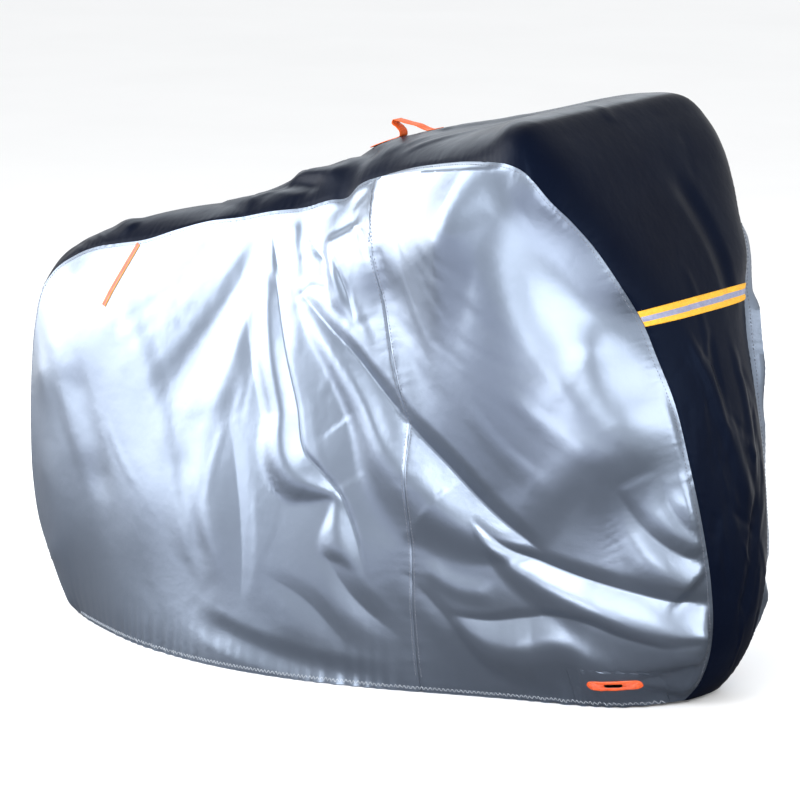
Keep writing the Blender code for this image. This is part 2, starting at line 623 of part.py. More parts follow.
def loop_solid(ridge):
    """The webbing loop: a bent strip that stands on the band's middle line."""
    path = np.array(LOOP)
    run = run_along(path)
    line = smooth(path, run, spaced(0.0, run[-1], 0.006))
    line[:, 1] = np.maximum(line[:, 1], 0.0)
    height = np.interp(line[:, 0], ridge[:, 0], ridge[:, 2]) + line[:, 1] + 2 * GAP
    middle = np.stack((line[:, 0], height + LOOP_THICK / 2), axis=1)
    ahead = unit(np.gradient(middle, axis=0))
    aside = np.stack((-ahead[:, 1], ahead[:, 0]), axis=1) * LOOP_THICK / 2
    rings = []
    for centre, offset in zip(middle, aside):
        high, low = centre + offset, centre - offset
        rings.append([(high[0], -LOOP_WIDTH / 2, high[1]), (high[0], LOOP_WIDTH / 2, high[1]),
                      (low[0], LOOP_WIDTH / 2, low[1]), (low[0], -LOOP_WIDTH / 2, low[1])])
    points = np.array(rings).reshape(-1, 3)
    faces = []
    for ring in range(len(rings) - 1):
        for side in range(4):
            a, b = ring * 4 + side, ring * 4 + (side + 1) % 4
            faces += [(a, a + 4, b), (b, a + 4, b + 4)]
    last = len(points) - 4
    faces += [(0, 1, 2), (0, 2, 3), (last, last + 2, last + 1), (last, last + 3, last + 2)]
    return points, faces


def mirrored(sheet):
    """The same sheet on the other side of the middle plane."""
    turned = dict(sheet)
    turned["points"] = sheet["points"] * (1, -1, 1)
    turned["triangles"] = sheet["triangles"][:, ::-1]
    return turned


# --------------------------------------------------------------------------- Blender's objects
MATERIALS = {
    # colour, roughness, metallic
    "silver_cloth": ((0.62, 0.66, 0.72), 0.38, 0.75),
    "dark_cloth": ((0.012, 0.016, 0.028), 0.50, 0.0),
    "reflective_tape": ((0.90, 0.55, 0.08), 0.55, 0.0),
    "orange_webbing": ((0.90, 0.18, 0.02), 0.70, 0.0),
    "orange_ring": ((0.90, 0.16, 0.02), 0.45, 0.0),
}


def material(name):
    """A plain material of its own for each kind of cloth and trim."""
    if name in bpy.data.materials:
        return bpy.data.materials[name]
    colour, roughness, metallic = MATERIALS[name]
    made = bpy.data.materials.new(name)
    made.use_nodes = True
    shader = made.node_tree.nodes["Principled BSDF"]
    shader.inputs["Base Color"].default_value = (*colour, 1.0)
    shader.inputs["Roughness"].default_value = roughness
    shader.inputs["Metallic"].default_value = metallic
    return made


def add(name, solid, finish):
    """Adds a solid to the scene as a named object."""
    points, faces = solid
    mesh = bpy.data.meshes.new(name)
    mesh.from_pydata((points + (SHIFT_X, 0.0, LIFT)).tolist(), [], faces)
    mesh.shade_smooth()
    mesh.set_sharp_from_angle(angle=math.radians(50))
    mesh.materials.append(material(finish))
    bpy.context.scene.collection.objects.link(bpy.data.objects.new(name, mesh))


def main():
    for old in list(bpy.data.objects):
        bpy.data.objects.remove(old)
    grid, run = band_grid()
    sheets = {"centre_band": band_sheet(grid)}
    for side, folds in (("left", LEFT_FOLDS), ("right", RIGHT_FOLDS)):
        panels, slot, ring, tape = side_sheets(grid, folds)
        in_slot = inside(centres(panels["patch"]), slot)
        panels["patch"]["triangles"] = panels["patch"]["triangles"][~in_slot]
        for name, sheet in panels.items():
            sheets[f"{side}_{name}"] = mirrored(sheet) if side == "right" else sheet
    share_seams(sheets)

    add("centre_band", cloth(sheets["centre_band"]), "dark_cloth")
    middle = band_sheet(grid)["triangles"]
    section = middle.min(axis=1) // grid.shape[1]
    first = int(np.argmin(np.abs(run - FRONT_TAPE_RUN)))
    add("front_tape", laid_on(sheets["centre_band"], section == first, TAPE), "reflective_tape")
    for side in ("right", "left"):
        for panel in ("rear", "front"):
            add(f"side_{side}_{panel}", cloth(sheets[f"{side}_{panel}"]), "silver_cloth")
        patch = sheets[side + "_patch"]
        add(f"eyelet_patch_{side}", cloth(patch), "silver_cloth")
        on_ring = inside(centres(patch), ring)
        add(f"eyelet_ring_{side}", laid_on(patch, on_ring, RING_THICK), "orange_ring")
        rear = sheets[side + "_rear"]
        on_tape = inside(centres(rear), tape) & (rear["triangles"].max(axis=1) < len(rear["flat"]))
        add(f"rear_tape_{side}", laid_on(rear, on_tape, TAPE), "reflective_tape")
    add("top_loop", loop_solid(grid[:, grid.shape[1] // 2]), "orange_webbing")


main()
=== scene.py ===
"""Looks of the fitted bicycle cover: fine cloth with its folds, trims, stitches, light, camera.

The sheets repeat the tables of the part's source at a finer step, so each visible piece lies on
the solid that it replaces. The tables of places and folds are in millimetres, and every other
size is in metres. X points to the bicycle's front wheel, Y to its left side and Z up.
"""
import math

import bpy
import numpy as np
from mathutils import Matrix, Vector
from mathutils.geometry import delaunay_2d_cdt
from mathutils.kdtree import KDTree


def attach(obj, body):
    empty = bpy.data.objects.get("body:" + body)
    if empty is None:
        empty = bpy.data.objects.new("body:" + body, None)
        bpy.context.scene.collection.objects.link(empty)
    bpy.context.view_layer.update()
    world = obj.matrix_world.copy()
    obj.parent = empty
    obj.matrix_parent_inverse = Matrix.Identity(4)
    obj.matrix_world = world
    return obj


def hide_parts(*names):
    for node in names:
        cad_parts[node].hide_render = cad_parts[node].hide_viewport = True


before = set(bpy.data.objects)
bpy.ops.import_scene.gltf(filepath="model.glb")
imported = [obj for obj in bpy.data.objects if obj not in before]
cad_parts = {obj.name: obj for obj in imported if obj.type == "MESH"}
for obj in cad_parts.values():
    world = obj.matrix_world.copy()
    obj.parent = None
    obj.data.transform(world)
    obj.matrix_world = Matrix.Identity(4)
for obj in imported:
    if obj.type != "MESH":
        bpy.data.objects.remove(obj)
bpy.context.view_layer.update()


def metres(rows, lengths=None):
    """A table of millimetres in metres. From column `lengths` on it holds plain numbers."""
    rows = np.array(rows, float)
    rows[:, :lengths] /= 1000
    return rows


# ------------------------------------------------------------------ driving sizes, in metres
SHIFT_X = 0.0438       # the tables' zero lies under the loop, the frame's at mid length
LIFT = 0.0003          # sets the turned hem down on the ground
STEP = 0.0062        # distance between the points of a sheet
PATCH_STEP = 0.7 * STEP        # the same on a patch
COARSE_STEP = 0.040    # distance between the seam points that shape a side
COARSE_HEM_STEP = 0.045        # the same along the hem
BAND_COLUMNS = 34       # points across half the band
THICK = 0.0012         # thickness of the visible cloth
SEAM_PULL = 0.0003     # each cloth ends this far short of the seam line
SEAM_DIP = 0.0012      # a sewn seam lies this much lower than the cloth beside it
DIP_REACH = 0.004
JOIN_DIP = 0.4         # the panel seam's share of that dip
GAP = 0.0003           # clearance under a trim
EDGE_ROWS = (0.0025, 0.006, 0.010, 0.015, 0.021)    # rows of points beside each seam
ROW_CLEAR = 0.93       # share of a row's offset that each of its points keeps from the outline
CREASE_CLEAR, LATTICE_CLEAR, RING_CLEAR = 0.5, 0.6, 0.4     # least distances of points, in steps
SHARP_ANGLE = math.radians(60)          # edges bent by more than this look sharp
SEEDS = {"left": 31, "right": 47, "band": 11, "band_right": 21, "band_left": 22}

# The centre band, from the rear hem over the top to the front hem.
BAND = metres((
    # middle x, z     seam x, z     half     crown, which is a plain number
    (-712, 10, -702, 10, 54, 2.0),
    (-732, 1, -723, 1, 58, 2.0),
    (-754, 3, -744, 3, 62, 2.0),
    (-776, 18, -765, 18, 63, 2.0),
    (-792, 45, -781, 45, 63, 2.0),
    (-822, 108, -811, 110, 62, 2.0),
    (-851, 180, -841, 182, 60, 2.0),
    (-867, 270, -858, 270, 58, 2.0),
    (-870, 380, -862, 380, 58, 2.0),
    (-866, 500, -858, 500, 58, 2.0),
    (-855, 600, -847, 598, 58, 2.0),
    (-841, 670, -830, 662, 57, 2.0),
    (-809, 726, -793, 709, 57, 2.0),
    (-758, 763, -742, 741, 59, 2.0),
    (-700, 790, -690, 762, 66, 2.0),
    (-628, 815, -628, 776, 76, 2.0),
    (-549, 838, -549, 792, 85, 2.0),
    (-470, 856, -470, 819, 90, 2.0),
    (-392, 870, -390, 843, 95, 2.0),
    (-315, 897, -310, 858, 100, 2.0),
    (-239, 928, -230, 877, 105, 2.0),
    (-163, 959, -151, 891, 111, 2.0),
    (-88, 990, -80, 913, 123, 2.2),
    (-50, 1007, -38, 922, 130, 2.3),
    (-13, 1021, -6, 949, 138, 2.4),
    (61, 1042, 77, 980, 159, 2.8),
    (140, 1055, 160, 1004, 196, 2.9),
    (220, 1069, 245, 1022, 234, 3.4),
    (300, 1087, 330, 1037, 275, 4.6),
    (365, 1105, 400, 1045, 311, 6.6),
    (420, 1119, 452, 1046, 332, 11.0),
    (468, 1116, 489, 1037, 340, 14.0),
    (508, 1084, 518, 1016, 341, 12.0),
    (544, 1043, 542, 985, 330, 11.0),
    (581, 980, 573, 945, 303, 8.0),
    (622, 908, 605, 893, 270, 6.0),
    (660, 833, 641, 823, 238, 4.4),
    (689, 757, 662, 751, 193, 3.2),
    (709, 680, 680, 684, 170, 2.8),
    (737, 580, 709, 592, 149, 2.5),
    (759, 470, 735, 479, 138, 2.3),
    (775, 357, 755, 364, 123, 2.0),
    (784, 235, 766, 238, 105, 2.0),
    (777, 160, 762, 162, 91, 2.0),
    (757, 92, 745, 93, 78, 2.0),
    (726, 36, 714, 36, 67, 2.0),
    (700, 9, 689, 8, 68, 2.0),
    (676, 5, 665, 3, 61, 2.0),
    (654, 12, 644, 10, 57, 2.0),
), 5)
TURN = 2               # rows at each end of the band that are turned under at the hem
BODY = BAND[TURN:-TURN]

# Where the hem of a side touches the ground, from the rear to the front: x, z and the distance
# from the middle plane.
HEM = metres((
    (-690, 1, 100), (-600, 1, 158), (-487, 1, 220), (-377, 1, 262), (-238, 1, 296),
    (-108, 1, 306), (10, 1, 301), (130, 1, 281), (228, 1, 255), (326, 1, 229), (423, 1, 208),
    (490, 1, 195), (545, 1, 182), (625, 3, 142),
))
HEM_TURN = metres(((4, -0.8), (10, -1), (17, 2.5), (24, 7)))     # rows turned under: in, up
HEM_TURN_BAND = (0.4, 1.0, 1.5, 2.0)      # the same rows on the band, in its turned rows

# How far a side stands out from the middle plane, between the band and the hem.
SIDE_LEVELS = (120, 300, 500, 700, 850, 950)
SIDE = (
    # x, then the distance out at each of SIDE_LEVELS, as far up as the band
    (-800, 80, 100, 102),
    (-720, 116, 136, 134, 98),
    (-620, 162, 170, 162, 124),
    (-450, 232, 225, 195, 147),
    (-300, 272, 254, 216, 164),
    (-150, 294, 272, 236, 188, 134),
    (0, 300, 283, 254, 216, 172),
    (150, 284, 283, 269, 245, 219, 199),
    (300, 266, 282, 283, 276, 268, 266),
    (420, 248, 274, 287, 297, 309, 323),
    (520, 230, 260, 277, 290, 303, 322),
    (600, 202, 235, 256, 267),
    (655, 168, 206),
    (700, 138, 178),
    (740, 112, 141),
)

# The upright seam between the rear and the front panel of a side, from the band to the hem.
PANEL_SEAM = metres((
    # x, z
    (63, 970), (83, 920), (103, 820), (153, 656), (196, 530), (210, 400), (213, 264), (212, 130),
    (215, 1),
))

# Folds of a side. Each runs on a bent line from its start by its middle to its end.
# A soft fold is a round ridge, or a groove where its height is below zero; lean moves its crest
# and is a plain number.
SOFT_RIGHT = metres((
    # start x, z    middle x, z    end x, z    width: start, end    height    lean
    (90, 960, 160, 740, 300, 520, 70, 80, -4, 0.0),
    (290, 1030, 470, 725, 730, 430, 260, 230, 40, -0.42),
    (20, 960, 220, 950, 420, 900, 240, 300, 34, 0.0),
    (-64, 816, 4, 846, 56, 874, 70, 74, 10.5, -0.62),
    (-60, 800, 50, 850, 170, 900, 120, 150, 15, 0.0),
    (52, 862, 44, 890, 12, 924, 40, 40, 6, 0.0),
    (-165, 870, -142, 812, -114, 756, 20, 22, 3.5, 0.0),
    (-20, 800, 26, 742, 120, 640, 22, 26, 3, 0.0),
    (362, 592, 432, 512, 532, 440, 30, 34, 1.6, -0.3),
    (436, 635, 537, 557, 630, 488, 30, 34, 1.8, -0.2),
    (-241, 831, -319, 662, -460, 472, 40, 80, -4, 0.2),
    (-211, 806, -248, 632, -309, 452, 30, 50, 3, 0.0),
    (-330, 841, -448, 706, -637, 529, 40, 60, -1.5, 0.0),
    (-574, 674, -467, 530, -400, 360, 45, 45, 2, 0.0),
    (-700, 540, -640, 400, -570, 260, 50, 60, -3, 0.0),
    (-780, 640, -700, 470, -620, 310, 60, 60, 3, 0.0),
    (-360, 430, -330, 300, -260, 170, 45, 40, -3, 0.0),
    (-300, 92, -90, 44, 180, 20, 40, 40, -6, 0.0),
    (240, 267, 304, 225, 400, 222, 30, 34, 4, 0.0),
    (20, 681, 110, 570, 190, 470, 26, 30, -2, 0.0),
), 9)
# A crease is a sharp line through its stations. Below it a wide flank leans back and catches the
# light; above it a steeper flank hangs over. A tilt is a plain number, and below zero it turns
# the groove into a ridge.
CREASES_RIGHT = [metres(stations, 4) for stations in (
    # at each station: x, z, width of the lower and upper flank, tilt of the lower and upper flank
    ((-206, 825, 8, 5, 0.2, 0.3), (-177, 776, 10, 6, 0.34, 0.5), (-159, 747, 8, 6, 0.1, 0.2)),
    ((-195, 807, 12, 6, 0.1, 0.1), (-169, 735, 24, 8, 0.36, 0.26), (-123, 627, 34, 10, 0.42, 0.3),
     (-79, 527, 38, 12, 0.44, 0.3), (-45, 436, 44, 16, 0.46, 0.32), (-7, 410, 34, 18, 0.46, 0.32),
     (44, 372, 10, 12, 0.26, 0.24), (65, 351, 6, 10, 0.0, 0.1)),
    ((44, 372, 10, 12, 0.12, 0.2), (73, 325, 34, 14, 0.26, 0.34), (94, 279, 36, 14, 0.26, 0.36),
     (109, 232, 10, 10, 0.05, 0.1)),
    ((-99, 731, 10, 20, 0.2, 0.2), (-34, 690, 22, 28, 0.34, 0.36), (38, 645, 32, 34, 0.38, 0.38),
     (116, 588, 44, 40, 0.4, 0.38), (205, 518, 72, 46, 0.42, 0.38),
     (296, 455, 78, 50, 0.42, 0.38), (385, 385, 56, 46, 0.42, 0.36),
     (467, 333, 24, 34, 0.34, 0.28), (505, 309, 8, 20, 0.0, 0.0)),
    ((-112, 838, 8, 8, 0.1, 0.1), (-68, 812, 20, 14, 0.26, 0.36), (-26, 790, 10, 10, 0.1, 0.2)),
    ((-22, 822, 10, 8, 0.1, 0.16), (4, 788, 22, 12, 0.26, 0.4), (26, 753, 26, 16, 0.34, 0.46),
     (50, 707, 10, 10, 0.2, 0.3)),
    ((-105, 735, 8, 10, 0.1, 0.2), (-82, 750, 12, 14, 0.1, 0.3), (-44, 751, 16, 12, 0.1, 0.2)),
    ((365, 354, 6, 10, 0.4, 0.25), (415, 320, 22, 22, 0.54, 0.32), (496, 289, 38, 30, 0.56, 0.34),
     (570, 265, 48, 34, 0.56, 0.34), (646, 243, 58, 34, 0.56, 0.32),
     (715, 224, 66, 32, 0.54, 0.28), (764, 211, 70, 30, 0.5, 0.2)),
    ((462, 186, 44, 20, 0.0, 0.0), (520, 186, 58, 22, 0.28, 0.2), (573, 180, 64, 26, 0.5, 0.36),
     (623, 160, 66, 26, 0.52, 0.38), (678, 147, 50, 24, 0.46, 0.36), (737, 140, 16, 18, 0.2, 0.2)),
    ((308, 166, 20, 12, 0.2, 0.16), (374, 163, 50, 20, 0.46, 0.3), (440, 174, 60, 24, 0.48, 0.3),
     (500, 184, 54, 20, 0.26, 0.16), (556, 186, 44, 18, 0.0, 0.0)),
    ((635, 67, 10, 14, 0.4, 0.2), (671, 78, 30, 24, 0.55, 0.24), (720, 96, 44, 30, 0.6, 0.24),
     (756, 110, 50, 24, 0.55, 0.2)),
    ((634, 431, 10, 14, 0.1, 0.2), (669, 366, 24, 28, 0.28, 0.34), (705, 326, 36, 32, 0.38, 0.36),
     (754, 294, 44, 30, 0.44, 0.28)),
    ((696, 446, 8, 12, 0.06, 0.24), (706, 406, 16, 20, 0.14, 0.32), (726, 369, 20, 22, 0.18, 0.3),
     (752, 337, 20, 20, 0.18, 0.16)),
    ((7, 269, 16, 20, 0.0, 0.0), (75, 186, 34, 46, 0.14, 0.18), (191, 100, 26, 34, 0.0, 0.0)),
    ((-133, 200, 30, 24, 0.0, 0.0), (-25, 159, 48, 40, 0.1, 0.13), (81, 73, 24, 30, 0.0, 0.0)),
    ((-255, 497, 60, 24, 0.0, 0.0), (-213, 368, 80, 40, 0.09, 0.1),
     (-185, 216, 70, 44, 0.09, 0.1), (-182, 119, 40, 34, 0.0, 0.0)),
    ((180, 250, 26, 26, 0.0, 0.0), (270, 172, 26, 30, 0.1, 0.2), (343, 78, 20, 20, 0.0, 0.0)),
    ((-246, 708, 20, 16, 0.0, 0.0), (-218, 616, 30, 30, 0.07, 0.12),
     (-166, 488, 30, 40, 0.0, 0.0)),
)]
SOFT_LEFT = metres((
    # start x, z    middle x, z    end x, z    width: start, end    height    lean
    (580, 905, 645, 740, 715, 520, 45, 40, 19, 0.0),
    (640, 760, 676, 630, 730, 390, 32, 40, 14, 0.0),
    (160, 930, 280, 680, 520, 460, 60, 80, -12, 0.0),
    (590, 480, 650, 350, 748, 270, 30, 36, 9, 0.0),
    (260, 170, 380, 130, 520, 125, 34, 40, 10, 0.0),
    (-250, 820, -350, 600, -500, 420, 50, 70, -15, 0.2),
    (-340, 420, -280, 260, -250, 120, 36, 34, 9, 0.0),
    (-600, 660, -520, 470, -440, 300, 45, 45, 8, 0.0),
    (-160, 250, -70, 150, 60, 90, 34, 40, 6, 0.0),
    (-740, 540, -680, 380, -610, 250, 36, 40, 6, 0.0),
    (200, 330, 290, 240, 400, 190, 30, 40, 6, 0.0),
), 9)
CREASES_LEFT = [metres(stations, 4) for stations in (
    # at each station: x, z, width of the lower and upper flank, tilt of the lower and upper flank
    ((-160, 850, 14, 10, 0.1, 0.1), (-110, 690, 34, 26, 0.4, 0.3), (-80, 520, 44, 36, 0.4, 0.3),
     (-60, 350, 30, 30, 0.0, 0.05)),
    ((-50, 865, 14, 20, 0.1, 0.1), (60, 720, 50, 44, 0.44, 0.36), (190, 560, 58, 50, 0.46, 0.36),
     (330, 430, 20, 30, 0.0, 0.05)),
    ((300, 395, 14, 18, 0.2, 0.2), (420, 315, 44, 36, 0.46, 0.34), (580, 260, 62, 46, 0.46, 0.32),
     (740, 232, 60, 36, 0.4, 0.2)),
    ((0, 430, 14, 10, 0.05, 0.1), (50, 330, 36, 22, 0.3, 0.3), (90, 255, 30, 20, 0.26, 0.28),
     (135, 190, 12, 12, 0.0, 0.05)),
    ((-120, 860, 14, 12, 0.1, 0.1), (-40, 822, 26, 22, 0.36, 0.32), (20, 765, 22, 20, 0.34, 0.32),
     (60, 700, 10, 10, 0.0, 0.05)),
    ((480, 215, 12, 20, 0.1, 0.2), (570, 190, 24, 32, 0.36, 0.38), (660, 168, 26, 30, 0.34, 0.34),
     (735, 150, 20, 20, 0.1, 0.15)),
)]

# Folds of the centre band, placed by the run along its middle line from the rear hem, and y.
BAND_FOLDS = metres((
    # start run, y    middle run, y    end run, y    width: start, end    height    lean
    (1360, 10, 1450, -40, 1560, -95, 26, 34, 9, 0.0),
    (1300, -10, 1390, -50, 1500, -88, 22, 28, -7, 0.0),
    (1480, 20, 1560, -30, 1640, -100, 26, 32, -8, 0.0),
    (900, 30, 960, -20, 990, -65, 30, 34, 6, 0.0),
    (1700, -20, 1900, 60, 2060, 250, 50, 60, 8, 0.0),
    (1350, -20, 1450, 40, 1570, 90, 26, 34, 3, 0.0),
    (1160, 20, 1250, -30, 1330, -80, 28, 30, 5, 0.0),
    (2260, 60, 2420, 100, 2560, 90, 50, 36, -7, 0.0),
    (2560, -100, 2760, -20, 2960, 30, 34, 40, 7, 0.0),
    (2900, 60, 3020, 20, 3160, -20, 30, 30, -6, 0.0),
    (2600, 60, 2760, 70, 2900, 60, 22, 22, 4, 0.0),
    (2580, -10, 2680, -20, 2800, -10, 20, 20, -4, 0.0),
    (420, -30, 560, 0, 720, 30, 24, 26, 4, 0.0),
    (1700, -140, 1860, -120, 2020, -140, 18, 20, 3, 0.0),
), 9)

# Small creases run towards the points where the cloth is pulled.
PULLS = metres((
    # x, z, reach, and the share of the small creases, which is a plain number
    (-190, 880, 550, 0.34),
    (665, 50, 450, 0.24),
    (90, 990, 350, 0.26),
    (-800, 700, 400, 0.06),
), 3)
SMALL_CREASES = 90             # on each side
BAND_SMALL_CREASES = 110

# Puckers along a seam: size, pitch and reach.
BAND_PUCKERS = (0.0013, 0.016, 0.011)
SIDE_PUCKERS = (0.0013, 0.015, 0.010)
JOIN_PUCKERS = (0.0009, 0.024, 0.018)

# Reflective tapes.
FRONT_TAPE_RUN = 2.514      # run along the band's middle line to the tape's upper edge
FRONT_TAPE_WIDTH = 0.034
REAR_TAPE = ((-0.564, 0.782), (-0.585, 0.728), (-0.612, 0.660))   # its line on a rear panel
REAR_TAPE_WIDTH = 0.012
TAPE_THICK = 0.0011
TAPE_EDGE = 0.32            # share of a tape's width that each coloured edge takes
TAPE_ROUND = 0.0014         # a tape's edge is rounded over this width
FRONT_TAPE_STEP, REAR_TAPE_STEP = 0.0016, 0.0009            # between the points across a tape
FRONT_RIBS, REAR_RIBS = (0.0052, 0.0006), (0.0046, 0.0004)  # pitch and height of its ribs
FRONT_TAPE_END = 0.998      # the front tape ends at this part of the band's half width
FRONT_TAPE_SLOPE = 1.15     # its length over its reach in y
ROW_STEP = 0.002            # between the rows along a rear tape
COLUMN_STEP = 0.006         # between the columns along the front tape, in parts of half a width

# Lock eyelet and the patch that holds it, on a front panel.
PATCH_X = (0.520, 0.670)
PATCH_TOP = 0.092
EYELET = (0.598, 0.056)         # x and z of its middle
EYELET_TILT = math.radians(5.0)
EYELET_OUT = (0.044, 0.0115)    # half length and half height of the ring
SLOT = (0.014, 0.0045)          # half length and half height of the slot
RING_THICK = 0.0024
RING_TURNS = 170                # points round the eyelet
RING_ROWS = 11                  # points across the ring
RING_RIDGES = 44                # thread ridges round the eyelet
RING_RIM = 0.06                 # share of the ring's width that each rounded rim takes
RING_SUNK = 0.0002              # the ring's back lies this far in the cloth
SLOT_POINTS, RING_POINTS = 48, 72       # points of a patch on the slot and under the ring's rim

# Top loop: webbing sewn down along the ridge, as x and height above the ridge.
LOOP_WIDTH = 0.028
LOOP_THICK = 0.0018
LOOP_STEP = 0.0015
LOOP_SPAN = (-0.2, 0.3)         # the stretch of the ridge that the loop is sewn to, in x
LOOP = metres((
    (-60, 0), (-30, 0), (0, 0), (8, 2), (8, 9), (0, 21), (-10, 33), (-8, 37), (0, 34), (18, 26),
    (42, 16), (62, 4), (72, 0), (92, 0),
))

# Stitches: pitch, the thread's radius, and how far from its seam each row lies.
STITCH_SHARE = 0.62             # share of a seam stitch's pitch that its thread covers
JOIN_STITCH, JOIN_ROWS = 0.0068, (-0.0055, 0.0055)
BAND_STITCH, BAND_ROW = 0.0072, -0.0065
GREY_THREAD, WHITE_THREAD = 0.0006, 0.0005
HEM_STITCH, HEM_ZIGZAG = 0.0085, 0.0042       # pitch and length of a zigzag's limb
HEM_STITCH_Z = (0.0055, 0.0125)               # between these heights
HEM_STITCH_ENDS = (0.004, 0.012)              # it leaves these lengths free at the hem's ends
STITCH_SIDES = 6
STITCH_RINGS = (
    # along the thread from 0 to 1, then width and height in radii
    (0.0, 0.30, -0.4), (0.18, 0.85, 0.35), (0.5, 1.0, 0.7), (0.82, 0.85, 0.35), (1.0, 0.30, -0.4),
)


# ------------------------------------------------------------------------- curves and surfaces
def unit(vectors):
    """The same vectors, each of length one."""
    vectors = np.asarray(vectors, float)
    return vectors / np.maximum(np.linalg.norm(vectors, axis=-1, keepdims=True), 1e-12)


def run_along(points):
    """The distance along a line of points, at each of them."""
    steps = np.linalg.norm(np.diff(np.asarray(points, float), axis=0), axis=1)
    return np.concatenate(([0.0], np.cumsum(steps)))


def smooth(rows, places, at):
    """Rows of numbers known at rising places, read from a smooth curve through them."""
    rows, places, at = (np.asarray(values, float) for values in (rows, places, at))
    slopes = np.gradient(rows, places, axis=0)
    left = np.clip(np.searchsorted(places, at, side="right") - 1, 0, len(places) - 2)
    width = (places[left + 1] - places[left])[:, None]
    t = (at - places[left])[:, None] / width
    start, end = rows[left], rows[left + 1]
    return ((1 + 2 * t) * (1 - t) ** 2 * start + t * (1 - t) ** 2 * width * slopes[left]
            + t * t * (3 - 2 * t) * end + t * t * (t - 1) * width * slopes[left + 1])


def spaced(start, end, step):
    """Evenly spaced places from start to end, no further apart than step."""
    return np.linspace(start, end, max(1, math.ceil(abs(end - start) / step)) + 1)


def eased(values):
    """0 to 1, with level ends."""
    values = np.clip(values, 0.0, 1.0)
    return values * values * (3 - 2 * values)


def offset_line(line, offset):
    """A flat line moved to its left by an offset."""
    ahead = unit(np.gradient(line, axis=0))
    return line + np.stack((-ahead[:, 1], ahead[:, 0]), axis=1) * offset


CHUNK = 4000           # places that are worked on at a time


def in_chunks(work, places):
    """Does some work on many places, a part at a time, and joins the arrays that it returns."""
    done = [work(places[i:i + CHUNK]) for i in range(0, max(len(places), 1), CHUNK)]
    return [np.concatenate(parts) for parts in zip(*done)]


def plate(points, values):
    """The smoothest bent plate through values at flat points: its height and both slopes."""
    count = len(points)
    square = ((points[:, None] - points[None]) ** 2).sum(axis=2)
    level = np.column_stack((np.ones(count), points))
    system = np.zeros((count + 3, count + 3))
    system[:count, :count] = 0.5 * square * np.log(square + 1e-12)
    system[:count, count:] = level
    system[count:, :count] = level.T
    weights = np.linalg.solve(system, np.concatenate((values, np.zeros(3))))

    def height(places):
        away = places[:, None, :] - points[None]
        square = (away ** 2).sum(axis=2) + 1e-12
        log = np.log(square)
        out = (0.5 * square * log) @ weights[:count] + weights[count]
        out += places @ weights[count + 1:]
        slope = ((log + 1)[:, :, None] * away * weights[None, :count, None]).sum(axis=1)
        return out, slope + weights[count + 1:]

    return lambda places: in_chunks(height, places)


def nearest(places, line):
    """For each place, its distance to the points of a line and the number of the nearest."""
    def search(some):
        square = ((some[:, None] - line[None]) ** 2).sum(axis=2)
        return np.sqrt(square.min(axis=1)), square.argmin(axis=1)

    return in_chunks(search, places)


# -------------------------------------------------------------------------------------- folds
NEAREST_ROUNDS = 5     # rounds in which a line's nearest point is closed in on
FADE = 0.014           # folds die out this close to the band
FADE_POWER = 1.2
FOLD_POINTS = 49       # points on the bent line of a soft fold
FOLD_END = 0.1         # share of its height that a soft fold has at its ends
FOLD_RISE = 0.22       # share of its length over which it rises from there
LINE_STEP = 0.003      # distance between the points of a crease's line
CREASE_ROWS = (-0.0035, 0.0, 0.0035)    # rows of a sheet's points on a crease and beside it
END_FADE = 0.020       # creases die out this far past their ends
LIT_TAIL, SHADE_TAIL = 1.6, 8.0         # so many widths past its crest a flank has died away


def beside_line(places, line, reach):
    """The places near a line: which, distance across, past its ends, and the nearest point."""
    low, high = line.min(axis=0) - reach, line.max(axis=0) + reach
    which = np.flatnonzero(((places > low) & (places < high)).all(axis=1))
    if not len(which):
        return which, None, None, None
    heading = unit(np.gradient(line, axis=0))
    _, number = nearest(places[which], line)
    spacing = run_along(line)[-1] / (len(line) - 1)
    for _ in range(NEAREST_ROUNDS):
        before = np.minimum(number.astype(int), len(line) - 2)
        share = (number - before)[:, None]
        offset = places[which] - line[before] * (1 - share) - line[before + 1] * share
        ahead = unit(heading[before] * (1 - share) + heading[before + 1] * share)
        along = (ahead * offset).sum(axis=1)
        number = np.clip(number + along / spacing, 0, len(line) - 1)
    at_end = ((number == 0) & (along < 0)) | ((number == len(line) - 1) & (along > 0))
    across = ahead[:, 0] * offset[:, 1] - ahead[:, 1] * offset[:, 0]
    return which, across, np.where(at_end, np.abs(along), 0.0), number


def soft_folds(places, rows):
    """How far round folds push the cloth out at each flat place."""
    out = np.zeros(len(places))
    part = np.linspace(0.0, 1.0, FOLD_POINTS)[:, None]
    for row in rows:
        wide0, wide1, height, lean = row[6:]
        reach = max(wide0, wide1) * (1 + abs(lean))
        start, middle, end = np.reshape(row[:6], (3, 2))
        pull = 2 * middle - (start + end) / 2
        line = (1 - part) ** 2 * start + 2 * part * (1 - part) * pull + part * part * end
        which, across, past, number = beside_line(places, line, reach)
        if len(which):
            t = number / (len(line) - 1)
            wide = (wide0 + (wide1 - wide0) * t) * np.where(across > 0, 1 + lean, 1 - lean)
            far = np.minimum(np.hypot(across, past) / wide, 1.0)
            strength = FOLD_END + (1 - FOLD_END) * eased(np.minimum(t, 1 - t) / FOLD_RISE)
            out[which] += height * strength * (0.5 + 0.5 * np.cos(np.pi * far))
    return out


def flank(share):
    """A flank's height over its width: even at first, then rounded to a level crest."""
    share = np.minimum(share, 1.0)
    return share - share ** 5 / 5


def behind(share, length):
    """How a flank dies away past its crest, over a length in its own widths."""
    return 0.5 + 0.5 * np.cos(np.pi * np.clip((share - 1.0) / length, 0.0, 1.0))


